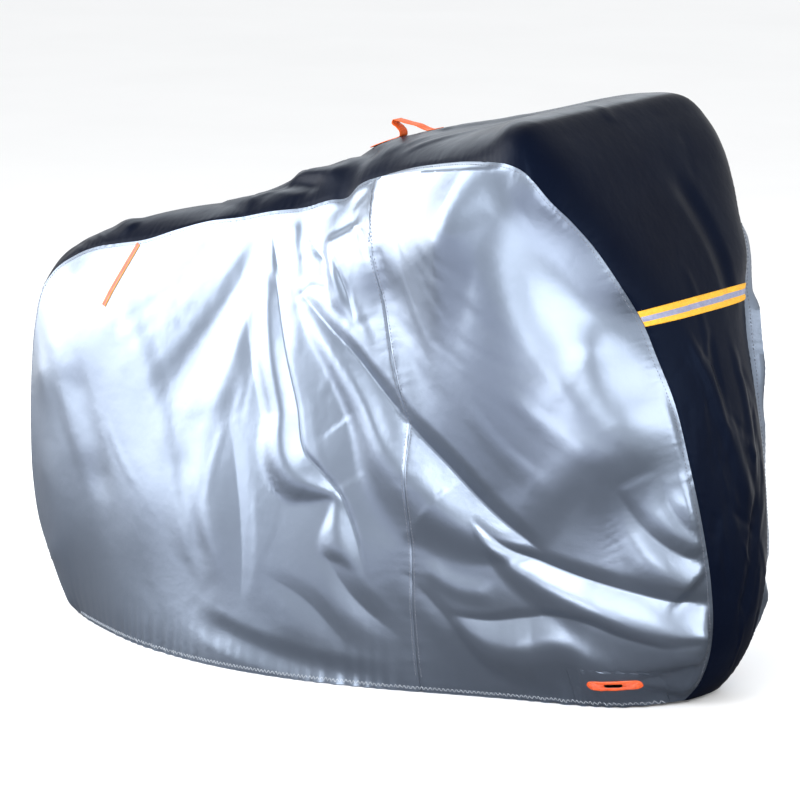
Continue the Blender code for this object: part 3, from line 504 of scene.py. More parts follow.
def crease_line(stations, step):
    """A smooth line through a crease's stations: rows like theirs, a step apart."""
    run = run_along(stations[:, :2])
    return smooth(stations, run, spaced(0.0, run[-1], step))


def sharp_creases(places, creases):
    """How far creases push the cloth out: a lit flank below the line, a shaded one above."""
    out = np.zeros(len(places))
    for stations in creases:
        rows = crease_line(stations, LINE_STEP)
        reach = max((1 + LIT_TAIL) * rows[:, 2].max(), (1 + SHADE_TAIL) * rows[:, 3].max())
        which, across, past, number = beside_line(places, rows[:, :2], reach)
        if len(which):
            lit, shade, lit_tilt, shade_tilt = (np.interp(number, np.arange(len(rows)), column)
                                                for column in rows[:, 2:].T)
            below, above = np.maximum(-across / lit, 0.0), np.maximum(across / shade, 0.0)
            rise = lit * lit_tilt * flank(below) * behind(below, LIT_TAIL)
            rise += shade * shade_tilt * flank(above) * behind(above, SHADE_TAIL)
            out[which] += rise * eased(1 - past / END_FADE)
    return out


def small_fold(random, origin, turn, far, length, widths, tilts, growth):
    """A row of one small soft fold, some way from an origin in a direction, sized at random."""
    ahead = np.array((math.cos(turn), math.sin(turn)))
    start = np.array(origin) + ahead * far
    end = start + ahead * length
    middle = (start + end) / 2 + np.array((-ahead[1], ahead[0])) * random.normal() * 0.006
    wide = random.uniform(*widths)
    height = random.choice((-1, 1)) * wide * random.uniform(*tilts)
    return *start, *middle, *end, wide, wide * growth, height, 0.0


def small_creases(seed):
    """Rows of small soft folds that run towards the pulls, the same on each run."""
    random = np.random.default_rng(seed)
    rows = []
    for x, z, reach, share in PULLS:
        for _ in range(round(SMALL_CREASES * share)):
            turn = random.uniform(-math.pi, 0.0)
            far = reach * random.uniform(0.08, 1.0) ** 0.8
            length = random.uniform(0.08, 0.26)
            rows.append(small_fold(random, (x, z), turn, far, length,
                                   (0.009, 0.022), (0.012, 0.040), 1.3))
    return rows


def band_small_creases():
    """Rows of small soft folds of the band, placed by run and y, most of them at its bends."""
    random = np.random.default_rng(SEEDS["band"])
    rows = []
    for _ in range(BAND_SMALL_CREASES):
        run = random.choice((random.uniform(0.1, 3.2), random.uniform(1.2, 1.75),
                             random.uniform(2.5, 3.2)))
        half = float(smooth(BODY[:, 4:5], BODY_RUN, [run])[0, 0])
        y = random.uniform(-0.95, 0.95) * half
        turn = random.normal(0.0, 0.45)
        length = random.uniform(0.05, 0.18)
        rows.append(small_fold(random, (run, y), turn, 0.0, length,
                               (0.008, 0.020), (0.05, 0.13), 1.2))
    return rows


def puckers(run, distance, size, pitch, reach, seed):
    """Short waves across a seam, nought on it, that die out away from it."""
    turns = np.random.default_rng(seed).uniform(0, 2 * math.pi, 5)

    def wave(length, turn):
        return np.sin(run * 2 * math.pi / length + turn)

    drift = 1.4 * wave(0.113, turns[0]) + 1.1 * wave(0.071, turns[1])
    swell = 0.55 + 0.25 * wave(0.19, turns[2]) + 0.2 * wave(0.087, turns[3])
    rise = 1 - np.exp(-(distance / 0.004) ** 2)
    return size * swell * wave(pitch, drift + turns[4]) * rise * np.exp(-distance / reach)


def seam_dip(distance):
    """How far the cloth sinks beside a seam; on it, share_seams sinks both cloths alike."""
    return SEAM_DIP * np.exp(-(distance / DIP_REACH) ** 2) * (distance > 1e-6)


# --------------------------------------------------------------------------------- the surfaces
BODY_RUN = run_along(BODY[:, :2])


def band_sections(step):
    """The band's sections with its turned ends, their runs, and the number of turned rows."""
    at = spaced(0.0, BODY_RUN[-1], step)
    back = [TURN - part for part in HEM_TURN_BAND]
    numbers = np.arange(5.0)
    rear = smooth(BAND[:5], numbers, back[::-1])
    front = smooth(BAND[-5:], numbers, [4 - part for part in back])
    rear_run = -run_along(np.vstack((BODY[:1], rear[::-1]))[:, :2])[:0:-1]
    front_run = BODY_RUN[-1] + run_along(np.vstack((BODY[-1:], front))[:, :2])[1:]
    sections = np.vstack((rear, smooth(BODY, BODY_RUN, at), front))
    return sections, np.concatenate((rear_run, at, front_run)), len(back)


def band_surface(sections, run, parts):
    """Points and normals of the band's outer face, one row for each section, right to left."""
    middle, seam = sections[:, None, 0:2], sections[:, None, 2:4]
    half, crown = sections[:, 4, None], sections[:, 5, None]
    bend = np.abs(parts) ** crown
    profile = middle + (seam - middle) * bend[:, :, None]
    grid = np.stack((profile[:, :, 0], half * parts, profile[:, :, 1]), axis=2)
    along, across = np.gradient(grid, axis=0), np.gradient(grid, axis=1)
    normal = unit(np.cross(along, across))
    runs = np.broadcast_to(run[:, None], bend.shape)
    places = np.stack((runs, grid[:, :, 1]), axis=2).reshape(-1, 2)
    rise = np.zeros(bend.shape)
    for folds, power in ((BAND_FOLDS, 4), (band_small_creases(), 12)):
        rise += soft_folds(places, folds).reshape(bend.shape) * (1 - np.abs(parts) ** power)
    beside = half * (1 - np.abs(parts))
    for side, seed in ((parts < 0, "band_right"), (parts > 0, "band_left")):
        rise[:, side] += puckers(runs[:, side], beside[:, side], *BAND_PUCKERS, SEEDS[seed])
    rise -= seam_dip(beside)
    return grid + normal * rise[:, :, None], normal


def grid_triangles(rows, columns):
    """Triangles over a grid of points."""
    index = np.arange(rows * columns).reshape(rows, columns)
    a, b = index[:-1, :-1].ravel(), index[:-1, 1:].ravel()
    c, d = index[1:, 1:].ravel(), index[1:, :-1].ravel()
    return np.vstack((np.stack((a, c, b), axis=1), np.stack((a, d, c), axis=1)))


# Puckers grow where the cloth is tight, in front of x = TAUT_FROM and about z = TAUT_AT, and
# where it is gathered, about z = GATHERED_AT on the panel seam.
TAUT_FROM, TAUT_AT, TAUT_REACH, TAUT = 0.4, 0.52, 0.17, 1.4
GATHERED_AT, GATHERED_REACH, GATHERED = 0.93, 0.08, 1.6
HEM_WAVE, HEM_WAVE_PITCH, HEM_WAVE_REACH = 0.0022, 0.031, 0.035     # the elastic's gathers
SEAM_REACH = 0.02              # the plate is bent to the seam over this distance
NORMAL_STEP = 0.0015           # half the span over which a side's normals are measured


class Side:
    """The surface of one side, worked out as a left side, with its seams and its hem."""

    def __init__(self, seam, soft, creases, seed):
        coarse = smooth(BODY, BODY_RUN, spaced(0.0, BODY_RUN[-1], COARSE_STEP))[:, (2, 4, 3)]
        hem, _ = self.hem_line(coarse, COARSE_HEM_STEP)
        known = metres([(x, z, out) for x, *outs in SIDE for z, out in zip(SIDE_LEVELS, outs)])
        known = np.vstack((coarse[:, (0, 2, 1)], hem[1:-1][:, (0, 2, 1)], known))
        self.out = plate(known[:, :2], known[:, 2])
        self.soft, self.creases, self.seed = [*soft, *small_creases(seed)], creases, seed
        self.seam, self.seam_flat, self.seam_run = seam, seam[:, (0, 2)], run_along(seam)
        self.short = seam[:, 1] - self.out(self.seam_flat)[0]
        hem, self.marks = self.hem_line(seam, STEP)
        self.hem_flat, self.hem_run = hem[:, (0, 2)], run_along(hem)
        self.top = int(np.argmin(np.abs(seam[:, 0] - PANEL_SEAM[0][0])))
        join = np.vstack((self.seam_flat[self.top], PANEL_SEAM[1:-1], self.hem_flat[self.marks[1]]))
        run = run_along(join)
        self.join_run = spaced(0.0, run[-1], STEP)
        self.join_flat = smooth(join, run, self.join_run)

    @staticmethod
    def hem_line(seam, step):
        """The hem from the rear corner to the front one, and its marked points."""
        knots = np.vstack((seam[0], HEM[:, (0, 2, 1)], seam[-1]))
        marks = (seam[0, 0], PANEL_SEAM[-1][0], *PATCH_X, seam[-1, 0])
        stretches = [spaced(a, b, step) for a, b in zip(marks, marks[1:])]
        x = np.concatenate([stretch[:-1] for stretch in stretches] + [[marks[-1]]])
        line = smooth(knots, knots[:, 0], x)
        line[0], line[-1] = seam[0], seam[-1]
        return line, [int(np.argmin(np.abs(x - mark))) for mark in marks]

    def lift(self, places):
        """Lifts flat places (x, z) onto the side, folds and puckers included."""
        x, z = places.T
        out, slope = self.out(places)
        near, number = nearest(places, self.seam_flat)
        out = out + self.short[number] * np.exp(-(near / SEAM_REACH) ** 2)
        normal = unit(np.stack((-slope[:, 0], np.ones(len(places)), -slope[:, 1]), axis=1))
        rise = soft_folds(places, self.soft) + sharp_creases(places, self.creases)
        rise *= np.clip(near / FADE, 0.0, 1.0) ** FADE_POWER
        taut = 1.0 + TAUT * np.exp(-((z - TAUT_AT) / TAUT_REACH) ** 2) * (x > TAUT_FROM)
        rise += puckers(self.seam_run[number], near, *SIDE_PUCKERS, self.seed + 1) * taut
        rise -= seam_dip(near)
        beside, number = nearest(places, self.join_flat)
        gathered = 0.8 + GATHERED * np.exp(-((z - GATHERED_AT) / GATHERED_REACH) ** 2)
        rise += puckers(self.join_run[number], beside, *JOIN_PUCKERS, self.seed + 2) * gathered
        rise -= JOIN_DIP * seam_dip(beside)
        below, number = nearest(places, self.hem_flat)
        run = self.hem_run[number]
        wave = np.sin(run * 2 * math.pi / HEM_WAVE_PITCH + 1.6 * np.sin(run * 41.0))
        swell = 0.6 + 0.4 * np.sin(run * 13.0 + self.seed)
        rise += HEM_WAVE * wave * np.exp(-below / HEM_WAVE_REACH) * swell
        return np.stack((x, out, z), axis=1) + normal * rise[:, None]

    def lift_with_normals(self, places):
        """Points on the folded side and the folded cloth's own normals."""
        across, up = (NORMAL_STEP, 0.0), (0.0, NORMAL_STEP)
        ahead = self.lift(places + across) - self.lift(places - across)
        above = self.lift(places + up) - self.lift(places - up)
        return self.lift(places), unit(np.cross(above, ahead))


# ---------------------------------------------------------------------------- sheets of a side
def inside(places, loop):
    """Which flat places lie inside a closed flat outline."""
    x0, z0 = loop.T
    x1, z1 = np.roll(loop, -1, axis=0).T
    flat = np.where(np.abs(z1 - z0) < 1e-12, 1e-12, z1 - z0)

    def test(some):
        x, z = some[:, 0, None], some[:, 1, None]
        at = x0 + (z - z0) / flat * (x1 - x0)
        return ((((z0 > z) != (z1 > z)) & (x < at)).sum(axis=1) % 2 == 1,)

    return in_chunks(test, places)[0]


def clear_of(places, points, distance):
    """The flat places that lie further than a distance from each of many points."""
    tree = KDTree(len(points))
    for number, (x, z) in enumerate(points.tolist()):
        tree.insert((x, z, 0.0), number)
    tree.balance()
    return places[[tree.find((x, z, 0.0))[2] > distance for x, z in places.tolist()]]


def rows_beside(outline):
    """Rows of flat places just inside an outline."""
    after = np.roll(outline, -1, axis=0)
    ahead = unit(after - np.roll(outline, 1, axis=0))
    turn = np.sign((outline[:, 0] * after[:, 1] - after[:, 0] * outline[:, 1]).sum())
    inward = np.stack((-ahead[:, 1], ahead[:, 0]), axis=1) * turn
    rows = []
    for offset in EDGE_ROWS:
        row = outline + inward * offset
        row = row[inside(row, outline)]
        rows.append(row[nearest(row, outline)[0] > ROW_CLEAR * offset])
    return np.vstack(rows)


def lattice(loop, step):
    """Places of a lattice of even triangles, inside an outline."""
    low, high = loop.min(axis=0), loop.max(axis=0)
    rows = []
    for number, z in enumerate(np.arange(low[1], high[1], step * math.sqrt(3) / 2)):
        x = np.arange(low[0] + (step / 2 if number % 2 else 0.0), high[0], step)
        rows.append(np.stack((x, np.full(len(x), z)), axis=1))
    places = np.vstack(rows)
    return places[inside(places, loop)]


def triangulated(loop, rings, places):
    """Triangles over an outline with rings and places inside it, facing out on a left side."""
    flat = np.vstack((loop, *rings, places))
    edges, first = [], len(loop)
    for ring in rings:
        numbers = range(first, first + len(ring))
        edges += list(zip(numbers, [*numbers[1:], numbers[0]]))
        first += len(ring)
    made = delaunay_2d_cdt([tuple(place) for place in flat.tolist()], edges,
                           [tuple(range(len(loop)))], 1, 1e-7)
    source = np.array([numbers[0] for numbers in made[3]])
    triangles = source[np.array(made[2])]
    a, b, c = (flat[triangles[:, corner]] for corner in range(3))
    turned = (b[:, 0] - a[:, 0]) * (c[:, 1] - a[:, 1]) > (b[:, 1] - a[:, 1]) * (c[:, 0] - a[:, 0])
    triangles[turned] = triangles[turned][:, ::-1]
    return flat, triangles


def oval(half_length, half_height, count):
    """A round-ended slot's outline at the eyelet's place, as flat places."""
    turn = np.linspace(0.0, 2 * np.pi, count, endpoint=False)
    straight = half_length - half_height
    x = half_height * np.cos(turn) + straight * np.tanh(6 * np.cos(turn))
    z = half_height * np.sin(turn)
    cos, sin = math.cos(EYELET_TILT), math.sin(EYELET_TILT)
    return np.stack((EYELET[0] + x * cos - z * sin, EYELET[1] + x * sin + z * cos), axis=1)


def turned_hem(points, triangles, first, rows):
    """A sheet with the rows of its turned hem added, below the hem points from the first."""
    above = np.arange(first, first + len(rows[0]))
    for row in rows:
        below = np.arange(len(points), len(points) + len(row))
        points = np.vstack((points, row))
        a, b, c, d = above[:-1], above[1:], below[:-1], below[1:]
        triangles = np.vstack((triangles, np.stack((a, b, c), axis=1),
                               np.stack((b, d, c), axis=1)))
        above = below
    return points, triangles


def side_sheets(side, edge, turned_rows):
    """The outer faces of a left side: rear panel, front panel, and eyelet patch."""
    hem = side.lift(side.hem_flat)
    hem[0], hem[-1] = side.seam[0], side.seam[-1]
    ahead = unit(np.gradient(hem[:, :2], axis=0))
    turned = []
    for number, (inward, upward) in enumerate(HEM_TURN):
        row = hem + np.stack((ahead[:, 1] * inward, -ahead[:, 0] * inward,
                              np.full(len(hem), upward)), axis=1)
        row[0], row[-1] = edge[turned_rows - 1 - number], edge[number - turned_rows]
        turned.append(row)
    rear, foot, patch_rear, patch_front, front = side.marks
    left, right = side.hem_flat[patch_rear], side.hem_flat[patch_front]
    corners = np.array((left, (left[0], PATCH_TOP), (right[0], PATCH_TOP), right))
    border = np.vstack([a + (b - a) * spaced(0.0, 1.0, STEP / math.dist(a, b))[:-1, None]
                        for a, b in zip(corners, corners[1:])])[1:]
    border, join = side.lift(border), side.lift(side.join_flat[1:-1])
    seam, top = side.seam, side.top
    slot, ring = oval(*SLOT, SLOT_POINTS), oval(*EYELET_OUT, RING_POINTS)
    plans = {
        # lines of the outline; rings inside it; stretches of hem: place in the outline, from, to
        "rear": ((hem[:foot + 1], join[::-1], seam[1:top + 1][::-1]), [], [(0, rear, foot)]),
        "front": ((hem[foot:patch_rear + 1], border, hem[patch_front:], seam[top:-1][::-1], join),
                  [], [(0, foot, patch_rear),
                       (patch_rear - foot + 1 + len(border), patch_front, front)]),
        "patch": ((hem[patch_rear:patch_front + 1], border[::-1]), [slot, ring],
                  [(0, patch_rear, patch_front)]),
    }
    sheets = {}
    for name, (lines, rings, hems) in plans.items():
        loop = np.vstack(lines)
        outline = loop[:, (0, 2)]
        step = PATCH_STEP if rings else STEP
        beside = rows_beside(outline)
        fixed = np.vstack((outline, beside, *rings))
        sharp = np.vstack([offset_line(crease_line(stations, STEP)[:, :2], offset)
                           for stations in side.creases for offset in CREASE_ROWS])
        sharp = clear_of(sharp[inside(sharp, outline)], fixed, CREASE_CLEAR * STEP)
        places = clear_of(lattice(outline, step), np.vstack((fixed, sharp)),
                          LATTICE_CLEAR * step)
        beside = np.vstack((beside, sharp))
        if rings:
            beside = clear_of(beside, np.vstack(rings), RING_CLEAR * step)
        flat, triangles = triangulated(outline, rings, np.vstack((beside, places)))
        points = side.lift(flat)
        points[:len(loop)] = loop
        if rings:
            triangles = triangles[~inside(flat[triangles].mean(axis=1), slot)]
        for place, start, end in hems:
            points, triangles = turned_hem(points, triangles, place,
                                           [row[start:end + 1] for row in turned])
        sheets[name] = points, triangles
    return sheets


# ------------------------------------------------------------------------------- closed solids
def point_normals(points, triangles):
    """A normal at each point of a sheet, the mean of its triangles' normals."""
    a, b, c = (points[triangles[:, corner]] for corner in range(3))
    normals = np.cross(b - a, c - a)
    total = np.zeros_like(points)
    for corner in range(3):
        np.add.at(total, triangles[:, corner], normals)
    return unit(total)


def border_edges(triangles):
    """The edges that only one triangle has, in that triangle's order."""
    edges = np.vstack([triangles[:, (i, (i + 1) % 3)] for i in range(3)])
    key = edges[:, 0] * (triangles.max() + 1) + edges[:, 1]
    back = edges[:, 1] * (triangles.max() + 1) + edges[:, 0]
    return edges[~np.isin(key, back)]


def share_seams(sheets):
    """Gives sheets that meet one normal where they meet, and sinks and parts them there."""
    pool = {}
    for name, sheet in sheets.items():
        sheet["normals"] = point_normals(sheet["points"], sheet["triangles"])
        sheet["border"] = border_edges(sheet["triangles"])
        sheet["dips"] = {}
        for number in np.unique(sheet["border"]).tolist():
            place = tuple(np.round(sheet["points"][number], 6).tolist())
            pool.setdefault(place, []).append((name, number))
    for met in pool.values():
        if len(met) > 1:
            normal = unit(sum(sheets[name]["normals"][number] for name, number in met))
            dip = 0.0 if any("patch" in name for name, _ in met) else SEAM_DIP
            for name, number in met:
                sheets[name]["normals"][number] = normal
                sheets[name]["dips"][number] = dip
    for sheet in sheets.values():
        points, normals, dips = sheet["points"], sheet["normals"], sheet["dips"]
        pull = {}
        for a, b in sheet["border"].tolist():
            if a in dips and b in dips:
                along = unit(points[b] - points[a])
                for number in (a, b):
                    pull.setdefault(number, []).append(unit(np.cross(normals[number], along)))
        sheet["points"] = points.copy()
        for number, ways in pull.items():
            way = unit(sum(ways))
            sheet["points"][number] += way * SEAM_PULL / max(0.5, float(way @ ways[0]))
            sheet["points"][number] -= normals[number] * dips[number]


def slab(points, triangles, normals, low, high):
    """A closed solid between two offsets of a sheet, as points and faces."""
    used, flat = np.unique(triangles, return_inverse=True)
    triangles = flat.reshape(triangles.shape)
    points, normals = points[used], normals[used]
    count = len(points)
    a, b = border_edges(triangles).T
    faces = np.vstack((triangles, triangles[:, ::-1] + count,
                       np.stack((b, a, a + count), axis=1),
                       np.stack((b, a + count, b + count), axis=1)))
    return np.vstack((points + normals * high, points + normals * low)), faces


def tubes(points):
    """Closed tubes through rings of points: an array of tube, ring, corner and axis."""
    sides = points.shape[2]
    index = np.arange(points[..., 0].size).reshape(points.shape[:3])
    after = np.roll(index, -1, axis=2)
    quads = np.stack((index[:, :-1], index[:, 1:], after[:, 1:], after[:, :-1]), axis=3)
    ends = np.stack((index[:, 0], index[:, -1, ::-1]), axis=1)
    return points.reshape(-1, 3), [*quads.reshape(-1, 4), *ends.reshape(-1, sides)]


def on_side(name, solid):
    """A left side's solid, or its mirror image if the name is right."""
    points, faces = solid
    return solid if name == "left" else (points * (1, -1, 1), [face[::-1] for face in faces])


# ----------------------------------------------------------------------------------- materials
PAINTS = (
    # name; colours from and to, and their scale; roughness from and to, and its scale; bumps,
    # each as scale, detail and depth; other values of the shader
    ("silver_cloth", (0.165, 0.200, 0.258), (0.185, 0.220, 0.278), 3.0, (0.29, 0.34, 9.0),
     ((34.0, 3.0, 0.0005), (620.0, 1.0, 0.00008)), {"Metallic": 0.88}),
    ("dark_cloth", (0.0014, 0.0024, 0.0070), (0.0024, 0.0040, 0.0100), 5.0, (0.30, 0.38, 12.0),
     ((30.0, 2.0, 0.0008), (700.0, 1.0, 0.00004)),
     {"Specular IOR Level": 0.035, "Specular Tint": (0.40, 0.60, 1.0, 1.0)}),
    ("tape_edge", (0.54, 0.26, 0.006), (0.62, 0.32, 0.010), 90.0, (0.45, 0.6, 60.0),
     ((500.0, 2.0, 0.0003),), {}),
    ("tape_centre", (0.16, 0.17, 0.26), (0.21, 0.22, 0.31), 120.0, (0.35, 0.5, 60.0),
     ((600.0, 2.0, 0.0002),), {"Metallic": 0.15}),
    ("rear_tape_edge", (0.30, 0.115, 0.010), (0.38, 0.155, 0.018), 90.0, (0.45, 0.6, 60.0),
     ((500.0, 2.0, 0.0003),), {}),
    ("rear_tape_centre", (0.22, 0.040, 0.030), (0.28, 0.060, 0.045), 120.0, (0.4, 0.55, 60.0),
     ((600.0, 2.0, 0.0002),), {}),
    ("orange_webbing", (0.62, 0.085, 0.008), (0.72, 0.12, 0.012), 160.0, (0.6, 0.75, 90.0),
     ((420.0, 2.0, 0.0004),), {}),
    ("orange_ring", (0.44, 0.045, 0.004), (0.55, 0.075, 0.008), 150.0, (0.38, 0.52, 80.0),
     ((380.0, 2.0, 0.0005),), {}),
    ("white_thread", (0.30, 0.33, 0.37), (0.38, 0.41, 0.45), 200.0, (0.55, 0.7, 200.0),
     ((1500.0, 1.0, 0.0001),), {}),
    ("grey_thread", (0.09, 0.10, 0.13), (0.14, 0.15, 0.18), 200.0, (0.55, 0.7, 200.0),
     ((1500.0, 1.0, 0.0001),), {}),
    ("floor", (0.90, 0.90, 0.90), (0.92, 0.92, 0.92), 1.5, (0.6, 0.7, 2.0), (), {}),
)


def paint(name, first, second, scale, rough, bumps, values):
    """A procedural finish, made of nodes on the object's own coordinates."""
    made = bpy.data.materials.new(name + "_finish")
    made.use_nodes = True
    nodes, links = made.node_tree.nodes, made.node_tree.links

    def fill(sockets, values):
        for key, value in values.items():
            if isinstance(value, bpy.types.NodeSocket):
                links.new(value, sockets[key])
            else:
                sockets[key].default_value = value

    def node(kind, values):
        new = nodes.new("ShaderNode" + kind)
        fill(new.inputs, values)
        return new.outputs

    where = node("TexCoord", {})["Object"]

    def noise(scale, detail=3.0):
        return node("TexNoise", {"Scale": scale, "Detail": detail, "Roughness": 0.5,
                                 "Vector": where})["Fac"]

    def wandering(low, high, scale):
        """A number that goes from low to high and back over the surface."""
        return node("MapRange", {"From Min": 0.3, "From Max": 0.7, "To Min": low, "To Max": high,
                                 "Value": noise(scale)})["Result"]

    mix = nodes.new("ShaderNodeMix")
    mix.data_type = "RGBA"
    fill(mix.inputs, {"A": (*first, 1.0), "B": (*second, 1.0),
                      "Factor": wandering(0.0, 1.0, scale)})
    shader = nodes["Principled BSDF"].inputs
    fill(shader, {"Metallic": 0.0, "Base Color": mix.outputs["Result"], **values})
    if rough:
        fill(shader, {"Roughness": wandering(*rough)})
    below = {}
    for scale, detail, depth in bumps:
        below = {"Normal": node("Bump", {"Strength": 1.0, "Distance": depth,
                                         "Height": noise(scale, detail), **below})["Normal"]}
    fill(shader, below)
    return made


finish = {name: paint(name, *settings) for name, *settings in PAINTS}


# --------------------------------------------------------------------------- Blender's objects
def put(name, data):
    """Adds an object to the scene."""
    made = bpy.data.objects.new(name, data)
    bpy.context.scene.collection.objects.link(made)
    return made


def add(name, solid, finishes, node=None, faces_finish=None):
    """Adds a solid as a smooth piece: its finishes, its node, a finish for each face."""
    points, faces = solid
    mesh = bpy.data.meshes.new(name)
    moved = np.asarray(points, float) + (SHIFT_X, 0.0, LIFT)
    mesh.from_pydata(moved.tolist(), [], [list(face) for face in faces])
    mesh.shade_smooth()
    mesh.set_sharp_from_angle(angle=SHARP_ANGLE)
    for name_of_finish in finishes:
        mesh.materials.append(finish[name_of_finish])
    if faces_finish is not None:
        mesh.polygons.foreach_set("material_index", np.asarray(faces_finish, dtype=np.int32))
    piece = put(name, mesh)
    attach(piece, "root")
    if node:
        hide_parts(node)
    return piece


# ---------------------------------------------------------------------------- the cloth pieces
# The points across the band stand closer together towards its seams.
share = np.linspace(0.0, 1.0, BAND_COLUMNS + 1)
half_parts = 0.55 * share + 0.45 * np.sin(share * math.pi / 2)
parts = np.concatenate((-half_parts[:0:-1], half_parts))
sections, band_run, turned_rows = band_sections(STEP)
grid, _ = band_surface(sections, band_run, parts)
edge = grid[:, -1]
seam = edge[turned_rows:-turned_rows]
sides = {"left": Side(seam, SOFT_LEFT, CREASES_LEFT, SEEDS["left"]),
         "right": Side(seam, SOFT_RIGHT, CREASES_RIGHT, SEEDS["right"])}

sheets = {"band": {"points": grid.reshape(-1, 3), "triangles": grid_triangles(*grid.shape[:2])}}
for name, side in sides.items():
    for part, sheet in side_sheets(side, edge, turned_rows).items():
        points, triangles = on_side(name, sheet)
        sheets[f"{name}_{part}"] = {"points": points, "triangles": np.array(triangles)}
share_seams(sheets)


def cloth(name, sheet_name, finish_name, node):
    """Adds a piece of cloth whose outer face is a sheet."""
    sheet = sheets[sheet_name]
    return add(name, slab(sheet["points"], sheet["triangles"], sheet["normals"], -THICK, 0.0),
               [finish_name], node)


band = cloth("band", "band", "dark_cloth", "centre_band")
panels = {f"{side}_{part}": cloth(f"{side}_{part}_panel", f"{side}_{part}", "silver_cloth", node)
          for side, part, node in (
              ("right", "rear", "side_right_rear"), ("right", "front", "side_right_front"),
              ("left", "rear", "side_left_rear"), ("left", "front", "side_left_front"),
              ("right", "patch", "eyelet_patch_right"), ("left", "patch", "eyelet_patch_left"))}


# ------------------------------------------------------------------------------------ trims
def tape_section(width, step):
    """Points over a tape, as parts across from -1 to 1, and each one's height."""
    across = spaced(-1.0, 1.0, 2 * step / width)
    beside = width / 2 * (1 - np.abs(across))
    return across, TAPE_THICK * np.sqrt(np.clip(beside / TAPE_ROUND, 0.0, 1.0))


def ribbed(run, across, pitch, height):
    """Ribs across the coloured edges of a tape."""
    on_edge = np.clip((np.abs(across) - (1 - 2 * TAPE_EDGE)) / 0.05, 0.0, 1.0)
    return height * on_edge * (0.5 + 0.5 * np.cos(run * 2 * math.pi / pitch))


def tape_solid(points, normals, rise):
    """A closed strip over a grid of points, with each one's height above the cloth."""
    return slab(points.reshape(-1, 3), grid_triangles(*rise.shape), normals.reshape(-1, 3), GAP,
                GAP + rise.reshape(-1, 1))


def add_tape(name, solid, number, across, kind, node):
    """Adds a tape. Each face's number among the points across it gives its colour."""
    part = number / (len(across) - 1) * 2 - 1
    return add(name, solid, [kind + "_edge", kind + "_centre"], node,
               np.where(np.abs(part) > 1 - 2 * TAPE_EDGE, 0, 1))


def front_tape():
    """The tape that crosses the band, from seam to seam."""
    across, height = tape_section(FRONT_TAPE_WIDTH, FRONT_TAPE_STEP)
    runs = FRONT_TAPE_RUN + FRONT_TAPE_WIDTH * (1 + across) / 2
    columns = spaced(-FRONT_TAPE_END, FRONT_TAPE_END, COLUMN_STEP)
    points, normals = band_surface(smooth(BODY, BODY_RUN, runs), runs, columns)
    along = points[len(across) // 2, :, 1] * FRONT_TAPE_SLOPE
    rise = height[:, None] + ribbed(along, across[:, None], *FRONT_RIBS)
    solid = tape_solid(points, normals, rise)
    row = solid[1].mean(axis=1) % rise.size // len(columns)
    return add_tape("front_reflective_tape", solid, row, across, "tape", "front_tape")


def rear_tape(name, side):
    """The short tape on a rear panel."""
    run = run_along(REAR_TAPE)
    at = spaced(0.0, run[-1], ROW_STEP)
    line = smooth(REAR_TAPE, run, at)
    across, height = tape_section(REAR_TAPE_WIDTH, REAR_TAPE_STEP)
    places = np.stack([offset_line(line, part * REAR_TAPE_WIDTH / 2) for part in across], axis=1)
    points, normals = side.lift_with_normals(places.reshape(-1, 2))
    rise = height + ribbed(at[:, None], across, *REAR_RIBS)
    points, faces = tape_solid(points, normals, rise)
    column = (faces % len(across)).mean(axis=1)
    return add_tape(name + "_reflective_tape", on_side(name, (points, faces[:, ::-1])), column,
                    across, "rear_tape", "rear_tape_" + name)


def eyelet(name, side):
    """The domed oval ring, wound with thread, round the slot."""
    turn = np.linspace(0.0, 2 * math.pi, RING_TURNS, endpoint=False)
    outer, inner = oval(*EYELET_OUT, RING_TURNS), oval(*SLOT, RING_TURNS)
    part = np.linspace(0.0, 1.0, RING_ROWS)
    places = outer + (inner - outer) * part[:, None, None]
    points, normals = side.lift_with_normals(places.reshape(-1, 2))
    dome = RING_THICK * (0.35 + 0.65 * np.sin(part * math.pi)) \
        * np.sqrt(np.clip(part / RING_RIM, 0.0, 1.0) * np.clip((1 - part) / RING_RIM, 0.0, 1.0))
    ridges = 0.5 + 0.5 * np.cos(turn * RING_RIDGES + 0.8 * np.sin(turn * 3))
    rise = (dome[:, None] * (0.80 + 0.34 * ridges)).reshape(-1, 1)
    count = len(rise)
    index = np.arange(count).reshape(RING_ROWS, RING_TURNS)
    after = np.roll(index, -1, axis=1)
    quads = np.stack((index[:-1], index[1:], after[1:], after[:-1]), axis=2).reshape(-1, 4)
    rims = [np.stack((index[row], after[row], after[row] + count, index[row] + count), axis=1)
            for row in (0, -1)]
    faces = np.vstack((quads, quads[:, ::-1] + count, rims[0], rims[1][:, ::-1]))
    points = np.vstack((points + normals * (GAP + rise), points - normals * RING_SUNK))
    return add(name + "_lock_eyelet", on_side(name, (points, faces)), ["orange_ring"],
               "eyelet_ring_" + name)


